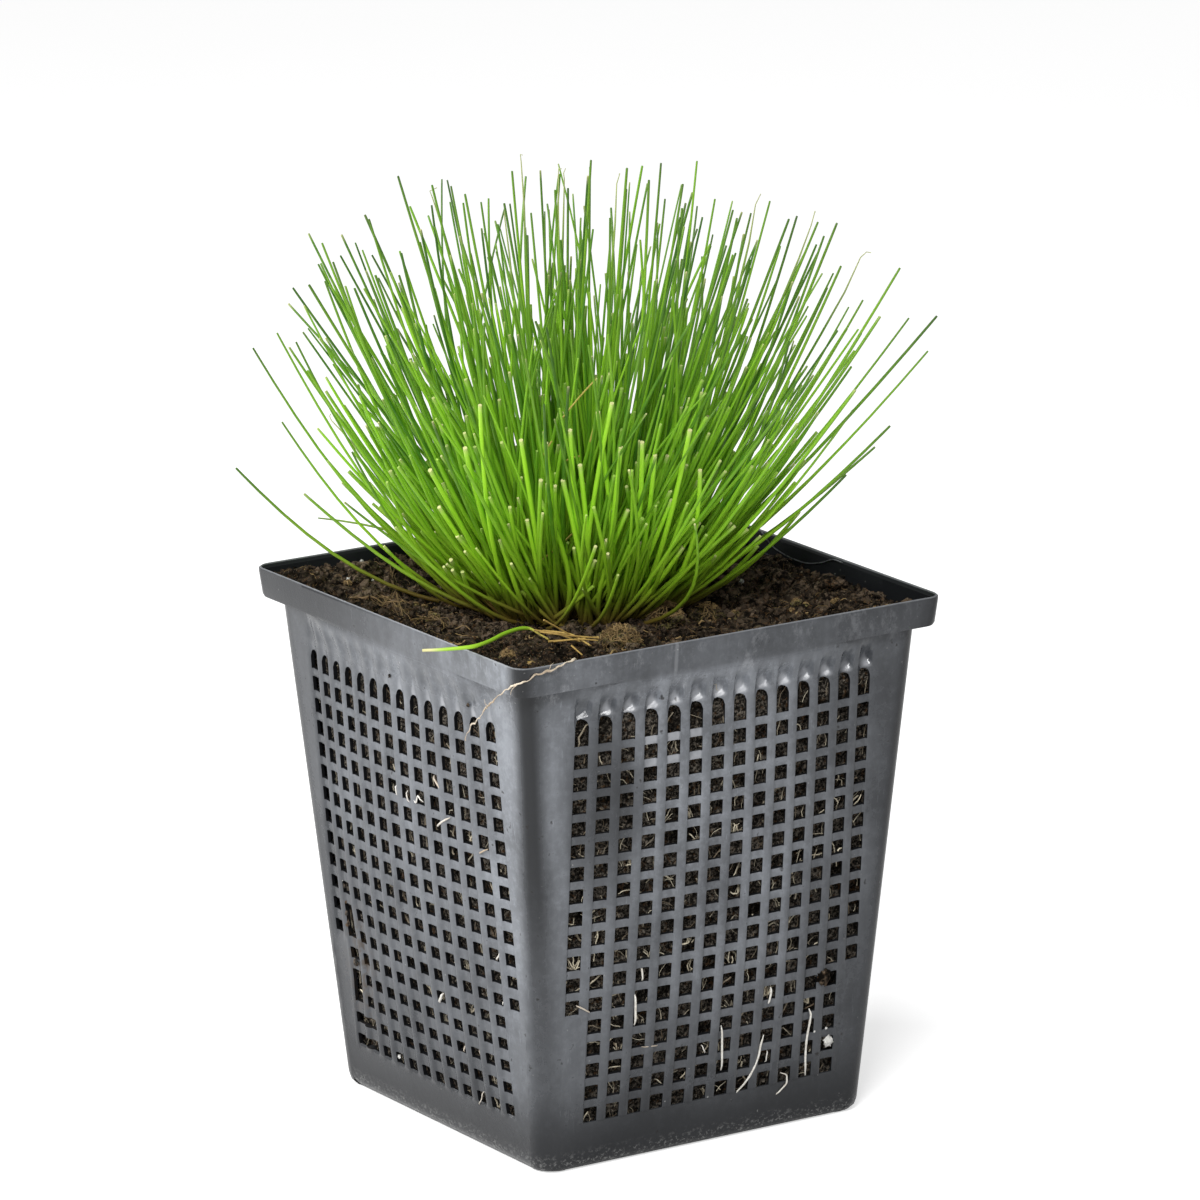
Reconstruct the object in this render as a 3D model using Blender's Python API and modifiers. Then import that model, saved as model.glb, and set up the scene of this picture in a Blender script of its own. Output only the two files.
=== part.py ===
"""Potted fiber optic grass: one tuft of fine round stems, rooted in peat soil in a square mesh basket.

Metres, +Z up. The origin is the middle of the basket's base. The corner at -X, -Y is the front one,
with the left wall at -X and the right wall at -Y.
"""

import math
import random

import bmesh
import bpy
from mathutils import Matrix, Vector

# Basket: outside sizes of the moulded plastic
RIM_WIDTH = 0.110
RIM_DRAFT = 0.0006
RIM_BAND = 0.0070
HEIGHT = 0.1188
BODY_TOP_WIDTH = 0.1042
BODY_BASE_WIDTH = 0.0844
CORNER_RADIUS = 0.0050
BASE_EDGE_RADIUS = 0.0020
WALL = 0.0014

# The walls bow outwards, up to this much halfway between two corners
WALL_BOW = 0.0026
BOW_HALF_SPAN = 0.038

# Mesh: 14 columns of square holes, 18 rows in the inner columns and 13 in the outer ones
COLUMNS = 14
COLUMN_PITCH = 0.005627
ROW_PITCH = 0.005126
HOLE_WIDTH = 0.0033
ROWS = 18
OUTER_COLUMN_ROWS = 13
ROW_TWO_HEIGHT = 0.0946
TOP_SLOT_HEIGHT = 0.1040
ROWS_PER_SLOT = 3
CUTTER_INNER_REACH = 0.0398

# Drain slots in the base
DRAIN_LENGTH = 0.014
DRAIN_WIDTH = 0.0033
DRAIN_COLUMN_OFFSET = 0.021
DRAIN_ROW_PITCH = 0.014

# Soil: its surface slopes down from the left corner to the back
SOIL_LEVEL = 0.1140
SOIL_SLOPE_X = -0.0345
SOIL_SLOPE_Y = -0.0055
SOIL_LUMPS = 0.0004
SOIL_FLAT_RADIUS = 0.031
GAP = 0.0004

# Grass: a crown on the soil, and locks of stems that fan out into a dome
CROWN_CENTRE = (-0.0055, 0.001)
CROWN_RADIUS = 0.0235
CROWN_TOP_RADIUS = 0.015
CROWN_HEIGHT = 0.0085
LOCK_COUNT = 54
LOCK_ROOT_RADIUS = 0.0190
LOCK_RADIUS = 0.0026
LOCK_TAPER = (1, 1.1, 0.8, 0.12)
LOCK_LENGTH = 0.1005
LOW_LOCK_LENGTH = 0.079
LEAN_LIMIT = math.radians(67)
LEAN_SHORTENING_STARTS = math.radians(48)
GOLDEN_ANGLE = math.pi * (3 - math.sqrt(5))

# Loose strands on the soil and the rim
STEM_RADIUS = 0.0007
STRAW_RADIUS = 0.0005
ROOT_RADIUS = 0.0004

SEED = 11


def clear_scene():
    for scene_object in list(bpy.data.objects):
        bpy.data.objects.remove(scene_object, do_unlink=True)


def new_collection(name):
    collection = bpy.data.collections.new(name)
    bpy.context.scene.collection.children.link(collection)
    return collection


def material(name, colour, roughness):
    plain = bpy.data.materials.new(name)
    plain.use_nodes = True
    shader = plain.node_tree.nodes["Principled BSDF"]
    shader.inputs["Base Color"].default_value = (*colour, 1)
    shader.inputs["Roughness"].default_value = roughness
    shader.inputs["Metallic"].default_value = 0
    plain.diffuse_color = (*colour, 1)
    return plain


def add_mesh(name, bm, collection, surface=None):
    mesh = bpy.data.meshes.new(name)
    bm.to_mesh(mesh)
    bm.free()
    if surface:
        mesh.materials.append(surface)
    added = bpy.data.objects.new(name, mesh)
    collection.objects.link(added)
    return added


def hide_cutter(cutter):
    cutter.hide_render = True
    cutter.display_type = "WIRE"


def body_half_width(z):
    base, top = BODY_BASE_WIDTH / 2, BODY_TOP_WIDTH / 2
    return base + (top - base) * z / HEIGHT


def ring(z, half_width, bow, stops, corner=CORNER_RADIUS, corner_steps=2):
    """One level of a bowed square tube, anticlockwise from above, as a list of points."""
    points = []
    for side in range(4):
        turn = math.radians(90 * side)
        outline = []
        for stop in stops:
            bulge = bow * max(0.0, 1 - (stop / BOW_HALF_SPAN) ** 2)
            outline.append((half_width + bulge, stop))
        for step in range(corner_steps + 1):
            angle = math.radians(90) * step / corner_steps
            inset = half_width - corner
            outline.append((inset + corner * math.cos(angle), inset + corner * math.sin(angle)))
        for x, y in outline:
            points.append(Vector((x * math.cos(turn) - y * math.sin(turn),
                                  x * math.sin(turn) + y * math.cos(turn), z)))
    return points


def loft(bm, levels):
    """Join successive rings of equal point count, from the lowest to the highest."""
    rows = [[bm.verts.new(point) for point in level] for level in levels]
    for lower, upper in zip(rows, rows[1:]):
        for i in range(len(lower)):
            j = (i + 1) % len(lower)
            bm.faces.new((lower[i], lower[j], upper[j], upper[i]))
    return rows


def bar_height(slots_below_rim):
    """Height of the bar under the given number of slots, counted from the top."""
    return ROW_TWO_HEIGHT - (ROWS_PER_SLOT * slots_below_rim - 1.5) * ROW_PITCH


def column_positions():
    return [(column - (COLUMNS - 1) / 2) * COLUMN_PITCH for column in range(COLUMNS)]


def slot_spans(rows):
    """Lowest and highest point of each slot in a column; one slot stands for three holes."""
    spans = []
    for first in range(1, rows + 1, ROWS_PER_SLOT):
        last = min(first + ROWS_PER_SLOT - 1, rows)
        top = TOP_SLOT_HEIGHT
        if first > 1:
            top = ROW_TWO_HEIGHT - (first - 2) * ROW_PITCH + HOLE_WIDTH / 2
        bottom = ROW_TWO_HEIGHT - (last - 2) * ROW_PITCH - HOLE_WIDTH / 2
        spans.append((bottom, top))
    return spans


def add_block(bm, low, high, turn=0.0):
    """A box between two opposite corners, then turned about Z."""
    block = bmesh.ops.create_cube(bm, size=1)["verts"]
    for vert in block:
        for axis in range(3):
            middle = (low[axis] + high[axis]) / 2
            vert.co[axis] = middle + vert.co[axis] * (high[axis] - low[axis])
    bmesh.ops.rotate(bm, verts=block, matrix=Matrix.Rotation(turn, 3, "Z"))


def make_slot_cutter(cutters):
    """Short blocks through each wall for its slots, and blocks through the base for its drains."""
    bm = bmesh.new()
    for wall in range(4):
        for column, across in enumerate(column_positions()):
            rows = OUTER_COLUMN_ROWS if column in (0, COLUMNS - 1) else ROWS
            for bottom, top in slot_spans(rows):
                add_block(bm, (CUTTER_INNER_REACH, across - HOLE_WIDTH / 2, bottom),
                          (RIM_WIDTH, across + HOLE_WIDTH / 2, top), math.radians(90 * wall))
    for side in (-1, 1):
        for row in (-1, 0, 1):
            x, y = side * DRAIN_COLUMN_OFFSET, row * DRAIN_ROW_PITCH
            add_block(bm, (x - DRAIN_LENGTH / 2, y - DRAIN_WIDTH / 2, -WALL),
                      (x + DRAIN_LENGTH / 2, y + DRAIN_WIDTH / 2, 2 * WALL))
    cutter = add_mesh("slot_cutter", bm, cutters)
    hide_cutter(cutter)
    return cutter


def make_basket(parts, cutters, plastic):
    stops = [stop * COLUMN_PITCH for stop in (-6, -3, 0, 3, 6)]
    ledge = HEIGHT - RIM_BAND
    lowest_bar = bar_height(ROWS // ROWS_PER_SLOT - 1)
    levels = [
        ring(0, body_half_width(0) - BASE_EDGE_RADIUS, 0, stops),
        ring(BASE_EDGE_RADIUS, body_half_width(BASE_EDGE_RADIUS), 0, stops),
        ring(lowest_bar, body_half_width(lowest_bar), WALL_BOW, stops),
        ring(ledge, body_half_width(ledge), WALL_BOW, stops),
        ring(ledge, RIM_WIDTH / 2 - RIM_DRAFT, 0, stops),
        ring(HEIGHT, RIM_WIDTH / 2, 0, stops),
    ]
    bm = bmesh.new()
    rows = loft(bm, levels)
    bm.faces.new(reversed(rows[0]))
    basket = add_mesh("basket", bm, parts, plastic)
    walls = basket.modifiers.new("Wall", "SOLIDIFY")
    walls.thickness = WALL
    walls.offset = -1
    walls.use_even_offset = True
    slots = basket.modifiers.new("Slots", "BOOLEAN")
    slots.object = make_slot_cutter(cutters)
    slots.operation = "DIFFERENCE"
    slots.solver = "EXACT"
    return basket


def soil_height(x, y):
    return SOIL_LEVEL + SOIL_SLOPE_X * x + SOIL_SLOPE_Y * y


def crown_height():
    """Level of the flat patch of soil that the crown sits on."""
    return soil_height(*CROWN_CENTRE)


def soil_surface(x, y, lump):
    distance = math.hypot(x - CROWN_CENTRE[0], y - CROWN_CENTRE[1])
    if distance < SOIL_FLAT_RADIUS:
        return crown_height() - abs(lump)
    return soil_height(x, y) + lump


def make_soil(parts, peat):
    chance = random.Random(SEED)
    stops = [stop * COLUMN_PITCH for stop in (-6, 0, 6)]
    inset = WALL / math.cos(math.atan2(BODY_TOP_WIDTH - BODY_BASE_WIDTH, 2 * HEIGHT)) + GAP
    corner = CORNER_RADIUS - WALL
    heel = BASE_EDGE_RADIUS + WALL
    lowest_bar = bar_height(ROWS // ROWS_PER_SLOT - 1)
    ledge = HEIGHT - RIM_BAND
    brim = ring(ledge, body_half_width(ledge) - inset, WALL_BOW, stops, corner)
    levels = [
        ring(WALL + GAP, body_half_width(0) - BASE_EDGE_RADIUS - inset, 0, stops, corner),
        ring(heel, body_half_width(BASE_EDGE_RADIUS) - inset, 0, stops, corner),
        ring(lowest_bar, body_half_width(lowest_bar) - inset, WALL_BOW, stops, corner),
        brim,
    ]
    for shrink in (0.97, 0.78, 0.56, 0.32):
        level = []
        for point in brim:
            x, y = point.x * shrink, point.y * shrink
            level.append(Vector((x, y, soil_surface(x, y, chance.uniform(-SOIL_LUMPS, SOIL_LUMPS)))))
        levels.append(level)
    bm = bmesh.new()
    rows = loft(bm, levels)
    bm.faces.new(reversed(rows[0]))
    middle = bm.verts.new((0, 0, crown_height()))
    for i, vert in enumerate(rows[-1]):
        bm.faces.new((vert, rows[-1][(i + 1) % len(rows[-1])], middle))
    return add_mesh("soil", bm, parts, peat)


def lock_path(index):
    """Centre line of one lock: root places follow a sunflower spiral, outer locks lean further out."""
    share = math.sqrt((index + 0.5) / LOCK_COUNT)
    heading = index * GOLDEN_ANGLE
    lean = LEAN_LIMIT * share ** 0.95
    fall = max(0.0, lean - LEAN_SHORTENING_STARTS) / (LEAN_LIMIT - LEAN_SHORTENING_STARTS)
    length = LOCK_LENGTH + (LOW_LOCK_LENGTH - LOCK_LENGTH) * fall
    outwards = Vector((math.cos(heading), math.sin(heading), 0))
    crown = Vector((*CROWN_CENTRE, crown_height()))
    root = crown + outwards * LOCK_ROOT_RADIUS * share + Vector((0, 0, CROWN_HEIGHT * 0.45))
    tip = crown + (outwards * math.sin(lean) + Vector((0, 0, math.cos(lean)))) * length
    arch = Vector((0, 0, 0.05 * length * math.sin(lean)))
    return [root, root.lerp(tip, 0.35) + arch, root.lerp(tip, 0.72) + arch, tip]


def strand_curve(name, points, radius, taper, collection):
    """A four-sided strand along the points; taper gives the share of the radius at each of them."""
    curve = bpy.data.curves.new(name, "CURVE")
    curve.dimensions = "3D"
    curve.bevel_depth = radius
    curve.bevel_resolution = 0
    curve.use_fill_caps = True
    spline = curve.splines.new("POLY")
    spline.points.add(len(points) - 1)
    for point, place, share in zip(spline.points, points, taper):
        point.co = (*place, 1)
        point.radius = share
    strand = bpy.data.objects.new(name, curve)
    collection.objects.link(strand)
    return strand


def add_curve_as_mesh(bm, strand):
    """Put a curve's closed surface into bm and remove the curve."""
    bpy.context.view_layer.update()
    evaluated = strand.evaluated_get(bpy.context.evaluated_depsgraph_get())
    mesh = bpy.data.meshes.new_from_object(evaluated)
    piece = bmesh.new()
    piece.from_mesh(mesh)
    bmesh.ops.remove_doubles(piece, verts=piece.verts, dist=0.00002)
    bmesh.ops.recalc_face_normals(piece, faces=piece.faces)
    piece.transform(strand.matrix_world)
    piece.to_mesh(mesh)
    piece.free()
    bm.from_mesh(mesh)
    bpy.data.objects.remove(strand, do_unlink=True)


def make_grass(parts, cutters, green):
    bm = bmesh.new()
    for index in range(LOCK_COUNT):
        lock = strand_curve("lock", lock_path(index), LOCK_RADIUS, LOCK_TAPER, cutters)
        add_curve_as_mesh(bm, lock)
    locks = add_mesh("locks", bm, cutters)
    hide_cutter(locks)
    bm = bmesh.new()
    bmesh.ops.create_cone(bm, cap_ends=True, segments=18, radius1=CROWN_RADIUS,
                          radius2=CROWN_TOP_RADIUS, depth=CROWN_HEIGHT)
    middle = crown_height() + GAP + CROWN_HEIGHT / 2
    bmesh.ops.translate(bm, verts=bm.verts, vec=(*CROWN_CENTRE, middle))
    grass = add_mesh("grass", bm, parts, green)
    union = grass.modifiers.new("Locks", "BOOLEAN")
    union.object = locks
    union.operation = "UNION"
    union.solver = "EXACT"
    union.use_self = True
    return grass


def smooth_route(points, steps):
    """Points on a smooth curve through the given ones."""
    places = [Vector(point) for point in points]
    places = [places[0] * 2 - places[1]] + places + [places[-1] * 2 - places[-2]]
    route = []
    for a, b, c, d in zip(places, places[1:], places[2:], places[3:]):
        for step in range(steps):
            t = step / steps
            route.append(0.5 * (2 * b + (c - a) * t + (2 * a - 5 * b + 4 * c - d) * t * t
                                + (3 * b - a - 3 * c + d) * t ** 3))
    route.append(places[-2])
    return route


def make_strand(name, points, radius, steps, parts, surface):
    route = smooth_route(points, steps)
    last = len(route) - 1
    taper = [0.75 + 0.25 * math.sin(math.pi * min(1.0, 0.15 + i / last)) for i in range(last + 1)]
    strand = strand_curve(name, route, radius, taper, parts)
    strand.data.materials.append(surface)
    return strand


def make_loose_strands(parts, green, straw, pale):
    fallen = [(-0.0311, -0.0293, 0.1164), (-0.0310, -0.0256, 0.1167), (-0.0312, -0.0220, 0.1172),
              (-0.0349, -0.0233, 0.1180), (-0.0418, -0.0282, 0.1190), (-0.0496, -0.0345, 0.1199),
              (-0.0554, -0.0373, 0.1203), (-0.0609, -0.0345, 0.1199), (-0.0640, -0.0310, 0.1194)]
    make_strand("fallen_stem", fallen, STEM_RADIUS, 1, parts, green)
    straws = [
        [(-0.0290, -0.0238, 0.1168), (-0.0287, -0.0303, 0.1178), (-0.0285, -0.0354, 0.1182),
         (-0.0277, -0.0405, 0.1170)],
        [(-0.0325, -0.0314, 0.1166), (-0.0269, -0.0336, 0.1167), (-0.0216, -0.0344, 0.1166)],
        [(-0.0478, -0.0445, 0.1169), (-0.0456, -0.0450, 0.1170), (-0.0439, -0.0462, 0.1168)],
    ]
    for number, points in enumerate(straws, start=1):
        make_strand(f"straw_{number}", points, STRAW_RADIUS, 1, parts, straw)
    root = [(-0.0385, -0.0515, 0.1193), (-0.0421, -0.0550, 0.1198), (-0.0451, -0.0557, 0.1180),
            (-0.0490, -0.0557, 0.1174), (-0.0515, -0.0556, 0.1167), (-0.0544, -0.0544, 0.1162),
            (-0.0557, -0.0515, 0.1151), (-0.0557, -0.0485, 0.1135), (-0.0553, -0.0470, 0.1116),
            (-0.0540, -0.0433, 0.1099), (-0.0529, -0.0385, 0.1077), (-0.0531, -0.0330, 0.1040),
            (-0.0533, -0.0301, 0.1000), (-0.0533, -0.0275, 0.0979)]
    make_strand("rim_root", root, ROOT_RADIUS, 1, parts, pale)


def main():
    clear_scene()
    parts = new_collection("potted_fiber_optic_grass")
    cutters = new_collection("cutters")
    plastic = material("black_plastic", (0.055, 0.058, 0.063), 0.45)
    peat = material("peat_soil", (0.045, 0.030, 0.020), 0.95)
    green = material("fresh_green", (0.16, 0.36, 0.04), 0.5)
    straw = material("dry_straw", (0.55, 0.38, 0.15), 0.7)
    pale = material("pale_root", (0.72, 0.62, 0.48), 0.7)
    make_basket(parts, cutters, plastic)
    make_soil(parts, peat)
    make_grass(parts, cutters, green)
    make_loose_strands(parts, green, straw, pale)


main()
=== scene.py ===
"""Potted fiber optic grass: mesh basket, peat soil, grass tuft and loose strands, dressed for close views.

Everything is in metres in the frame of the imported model: +Z up, origin at the middle of the basket's base.
"""

import math
import random

import bmesh
import bpy
from bpy.props import FloatProperty, FloatVectorProperty, IntProperty, PointerProperty
from mathutils import Matrix, Vector, noise


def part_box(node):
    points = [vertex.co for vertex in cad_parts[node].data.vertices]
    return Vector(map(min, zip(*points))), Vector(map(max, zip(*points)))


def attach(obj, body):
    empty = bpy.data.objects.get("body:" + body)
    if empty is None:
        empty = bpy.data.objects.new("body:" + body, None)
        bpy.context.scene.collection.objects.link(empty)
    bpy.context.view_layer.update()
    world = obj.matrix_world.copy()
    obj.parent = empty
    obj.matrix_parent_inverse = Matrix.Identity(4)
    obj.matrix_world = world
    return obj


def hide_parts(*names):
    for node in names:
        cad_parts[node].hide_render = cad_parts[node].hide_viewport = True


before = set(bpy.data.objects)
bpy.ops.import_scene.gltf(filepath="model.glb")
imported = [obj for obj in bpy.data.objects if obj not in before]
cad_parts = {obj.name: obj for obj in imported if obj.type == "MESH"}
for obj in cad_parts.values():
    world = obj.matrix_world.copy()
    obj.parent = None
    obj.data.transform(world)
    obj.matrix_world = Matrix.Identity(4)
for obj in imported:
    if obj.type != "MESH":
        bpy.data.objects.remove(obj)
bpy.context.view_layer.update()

bl_info = {
    "name": "Potted fiber optic grass",
    "version": (1, 0, 0),
    "blender": (4, 5, 0),
    "location": "View3D > Sidebar > Potted grass",
    "description": "Makes the basket, soil, grass and loose strands of a potted fiber optic grass",
    "category": "Add Mesh",
}

BASKET_LOW, BASKET_HIGH = (Vector(corner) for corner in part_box("basket"))
MM = 0.001
BODY = "root"

# Heights of the basket's rim, of the ledge under it and of the second row of holes
RIM_TOP = 118.8 * MM
LEDGE = 111.8 * MM
ROW_TWO = 94.6 * MM

# The soil's surface slopes, and the crown of the grass sits on it
SOIL_LEVEL = 114.0 * MM
SOIL_SLOPE = (-0.0345, -0.0055)
CROWN = (-5.5 * MM, 1.0 * MM)

# Turns of a wall that faces +X to each of the four sides
WALL_TURNS = (0, 90, 180, 270)
FRONT_WALL, LEFT_WALL = 270, 180

# Place of the camera, and the width of its sensor in millimetres
CAMERA_PLACE = Vector((-1002.742, -1561.496, 601.084)) * MM
SENSOR = 36.0
# The two softboxes: place, what each faces, and its width
FRONT_SOFTBOX = ((-0.85, -0.95, 1.15), (0, 0, 0.11), 0.50)
LEFT_SOFTBOX = ((-0.60, 0.40, 0.45), (0, 0, 0.08), 0.40)


# Settings that a user would change


class BasketSettings(bpy.types.PropertyGroup):
    rim_width: FloatProperty(
        name="Rim width", description="Outside width of the square rim",
        default=BASKET_HIGH.x - BASKET_LOW.x, unit="LENGTH")
    body_top_width: FloatProperty(
        name="Body width at the top", description="Outside width between the corners, at rim height",
        default=104.2 * MM, unit="LENGTH")
    base_width: FloatProperty(
        name="Base width", description="Outside width of the base",
        default=84.4 * MM, unit="LENGTH")
    corner_radius: FloatProperty(
        name="Corner radius", description="Radius of the four upright corners",
        default=5.0 * MM, unit="LENGTH")
    wall: FloatProperty(
        name="Wall", description="Thickness of the moulded wall",
        default=1.3 * MM, unit="LENGTH")
    columns: IntProperty(name="Columns", description="Columns of holes in each wall", default=14)
    rows: IntProperty(name="Rows", description="Rows of holes in the inner columns", default=18)
    outer_rows: IntProperty(name="Outer rows", description="Rows in the two outer columns", default=13)
    column_pitch: FloatProperty(
        name="Column pitch", description="Distance between columns", default=5.627 * MM, unit="LENGTH")
    row_pitch: FloatProperty(
        name="Row pitch", description="Distance between rows", default=5.126 * MM, unit="LENGTH")
    hole: FloatProperty(
        name="Hole", description="Width and height of one hole", default=3.3 * MM, unit="LENGTH")
    flute_depth: FloatProperty(
        name="Flute depth", description="Depth of the groove over each column",
        default=1.65 * MM, unit="LENGTH")
    bar_recess: FloatProperty(
        name="Bar recess", description="How far the cross bars lie behind the ribs",
        default=0.35 * MM, unit="LENGTH")
    colour: FloatVectorProperty(
        name="Colour", description="Colour of the clean plastic", subtype="COLOR",
        default=(0.014, 0.015, 0.017))
    # Its colour also paints light and shade over the outside, where the dust masks say
    dust_and_painted_light: FloatVectorProperty(
        name="Dust colour", description="Colour of dust and scuffs", subtype="COLOR",
        default=(0.283, 0.300, 0.328))


class SoilSettings(bpy.types.PropertyGroup):
    lump_height: FloatProperty(
        name="Lump height", description="Height of the crumbly lumps on the surface",
        default=2.9 * MM, unit="LENGTH")
    clearance: FloatProperty(
        name="Clearance", description="Room between the soil and the basket's inner wall",
        default=0.5 * MM, unit="LENGTH")
    crumbs: IntProperty(
        name="Crumbs", description="Loose crumbs on each 100 mm square of the surface", default=4100)
    side_crumbs: IntProperty(
        name="Side crumbs", description="Crumbs behind four walls of 100 by 105 mm", default=4200)
    fibres: IntProperty(name="Fibres", description="Single rootlets behind each wall", default=470)
    bunches: IntProperty(name="Bunches", description="Bunches of rootlets behind each wall", default=58)
    seed: IntProperty(name="Seed", description="Seed of the crumbs' and fibres' places", default=3)
    # Dark peat is also the colour of the painted shade in the hollows, along the left wall and in patches on
    # the sides
    dark: FloatVectorProperty(
        name="Dark peat", description="Colour of the damp hollows", subtype="COLOR",
        default=(0.006, 0.0045, 0.003))
    light: FloatVectorProperty(
        name="Light peat", description="Colour of the dry crumbs", subtype="COLOR",
        default=(0.222, 0.162, 0.112))
    dry: FloatVectorProperty(
        name="Dry peat", description="Colour of the root ball's sides", subtype="COLOR",
        default=(0.285, 0.250, 0.205))


class GrassSettings(bpy.types.PropertyGroup):
    stems: IntProperty(name="Stems", description="Number of stems in the tuft's mass", default=860)
    stem_radius: FloatProperty(
        name="Stem radius", description="Radius of a stem near its foot",
        default=0.56 * MM, unit="LENGTH")
    longest: FloatProperty(
        name="Longest stem", description="Length of the longest stems",
        default=100.5 * MM, unit="LENGTH")
    crown_radius: FloatProperty(
        name="Crown radius", description="Radius of the tuft where it leaves the soil",
        default=21.0 * MM, unit="LENGTH")
    lean_limit: FloatProperty(
        name="Lean limit", description="Lean of the outermost stems from upright",
        default=math.radians(66), subtype="ANGLE")
    seed: IntProperty(name="Seed", description="Seed of the tuft's irregularity", default=7)
    green: FloatVectorProperty(
        name="Green", description="Colour of a fresh stem", subtype="COLOR",
        default=(0.400, 0.820, 0.035))
    deep_green: FloatVectorProperty(
        name="Deep green", description="Colour of an older stem", subtype="COLOR",
        default=(0.055, 0.195, 0.010))


class StudioSettings(bpy.types.PropertyGroup):
    camera_yaw: FloatProperty(
        name="Yaw", description="Camera's heading, from +Y towards +X",
        default=math.radians(32.734), subtype="ANGLE")
    camera_pitch: FloatProperty(
        name="Pitch", description="Camera's slope downwards",
        default=math.radians(14.702), subtype="ANGLE")
    camera_roll: FloatProperty(
        name="Roll", description="Camera's turn about its own axis",
        default=math.radians(-0.620), subtype="ANGLE")
    lens: FloatProperty(name="Lens", description="Focal length in millimetres", default=261.4)
    world_light: FloatProperty(name="Surroundings", description="Brightness of the white room", default=0.36)
    front_light: FloatProperty(
        name="Front softbox", description="Power of the softbox over the camera", default=18.4)
    left_light: FloatProperty(
        name="Left softbox", description="Power of the softbox at the left", default=4.4)
    floor_colour: FloatVectorProperty(
        name="Floor colour", description="Colour of the plain floor", subtype="COLOR",
        default=(0.86, 0.86, 0.86))
    floor_glow: FloatProperty(
        name="Floor glow", description="Light that the floor shows to the camera only", default=0.56)


# Small helpers for meshes


def new_object(name, mesh):
    piece = bpy.data.objects.new(name, mesh)
    bpy.context.scene.collection.objects.link(piece)
    return piece


def object_from_bmesh(name, bm):
    mesh = bpy.data.meshes.new(name)
    bm.to_mesh(mesh)
    bm.free()
    return new_object(name, mesh)


def make_plain(piece):
    """Replace the piece's mesh by what its modifiers show, and drop them."""
    bpy.context.view_layer.update()
    evaluated = piece.evaluated_get(bpy.context.evaluated_depsgraph_get())
    mesh = bpy.data.meshes.new_from_object(evaluated)
    piece.modifiers.clear()
    piece.data = mesh
    return piece


def skin(bm, rows):
    """Faces between closed rows of vertices, row by row."""
    return [bm.faces.new((lower[i], lower[i + 1 - len(lower)], upper[i + 1 - len(upper)], upper[i]))
            for lower, upper in zip(rows, rows[1:]) for i in range(len(lower))]


def turned(wall, place):
    """A place on the +X side, turned to the given wall."""
    return Matrix.Rotation(math.radians(wall), 3, "Z") @ place


def finish_piece(piece, slot, *nodes):
    """Let the piece ride with the part, and stand for the solids that it replaces."""
    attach(piece, BODY)
    if nodes:
        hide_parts(*nodes)


def in_metres(points):
    return [Vector(point) * MM for point in points]


def soil_level(x, y):
    return SOIL_LEVEL + SOIL_SLOPE[0] * x + SOIL_SLOPE[1] * y


def smooth_step(low, high, value):
    share = min(1.0, max(0.0, (value - low) / (high - low)))
    return share * share * (3 - 2 * share)


def curve_points(points, steps):
    """Points on a smooth curve through the given ones."""
    places = [Vector(point) for point in points]
    places = [places[0] * 2 - places[1]] + places + [places[-1] * 2 - places[-2]]
    route = []
    for a, b, c, d in zip(places, places[1:], places[2:], places[3:]):
        for step in range(steps):
            t = step / steps
            route.append(0.5 * (2 * b + (c - a) * t + (2 * a - 5 * b + 4 * c - d) * t * t
                                + (3 * b - a - 3 * c + d) * t ** 3))
    route.append(places[-2])
    return route


# Geometry node trees


def add_sockets(tree, inputs, outputs):
    """Give the tree its inputs and outputs, by name and kind, and return the sockets of its inputs."""
    for label, kind in inputs.items():
        tree.interface.new_socket(label, in_out="INPUT", socket_type="NodeSocket" + kind)
    for label, kind in outputs.items():
        tree.interface.new_socket(label, in_out="OUTPUT", socket_type="NodeSocket" + kind)
    return tree.nodes.new("NodeGroupInput").outputs


class NodeWriter:
    """Short calls that add nodes to a tree."""

    def __init__(self, tree):
        self.tree = tree

    def node(self, kind, inputs=None, **values):
        """Add a node; inputs are values or sockets by name or number, the rest are its own options."""
        node = self.tree.nodes.new(kind)
        for option, value in values.items():
            setattr(node, option, value)
        for key, value in (inputs or {}).items():
            if isinstance(value, bpy.types.NodeSocket):
                self.tree.links.new(value, node.inputs[key])
            else:
                node.inputs[key].default_value = value
        return node.outputs

    def maths(self, operation, first, second=0.0, third=0.0):
        return self.node("ShaderNodeMath", {0: first, 1: second, 2: third}, operation=operation)[0]

    def times(self, *values):
        """The product of all the values."""
        product = values[0]
        for value in values[1:]:
            product = self.maths("MULTIPLY", product, value)
        return product

    def apart(self, value, middle):
        """How far a value is from a middle one, on either side."""
        return self.maths("ABSOLUTE", self.maths("SUBTRACT", value, middle))

    def between(self, share, first, second):
        """The number that lies this share of the way from the first to the second."""
        return self.node("ShaderNodeMix", {0: share, 2: first, 3: second})[0]


class NodeTree(NodeWriter):
    """A geometry node tree with named inputs, built call by call."""

    def __init__(self, name, inputs):
        super().__init__(bpy.data.node_groups.new(name, "GeometryNodeTree"))
        self.given = add_sockets(self.tree, {"Geometry": "Geometry", **inputs}, {"Geometry": "Geometry"})

    def attribute(self, name):
        return self.node("GeometryNodeInputNamedAttribute", {"Name": name}, data_type="FLOAT")[0]

    def store(self, geometry, name, value, domain):
        return self.node("GeometryNodeStoreNamedAttribute", {
            "Geometry": geometry, "Name": name, "Value": value}, data_type="FLOAT", domain=domain)[0]

    def end(self, geometry, material):
        """Realize instances, set the material and close the tree."""
        real = self.node("GeometryNodeRealizeInstances", {0: geometry})[0]
        self.node("NodeGroupOutput", {
            0: self.node("GeometryNodeSetMaterial", {"Geometry": real, "Material": material})[0]})
        return self.tree


def run_tree(piece, tree, values):
    """Run a geometry node tree on the piece with the given inputs, and keep the result as its mesh."""
    modifier = piece.modifiers.new(tree.name, "NODES")
    modifier.node_group = tree
    for item in tree.interface.items_tree:
        if item.item_type == "SOCKET" and item.in_out == "INPUT" and item.name in values:
            modifier[item.identifier] = values[item.name]
    return make_plain(piece)


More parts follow.
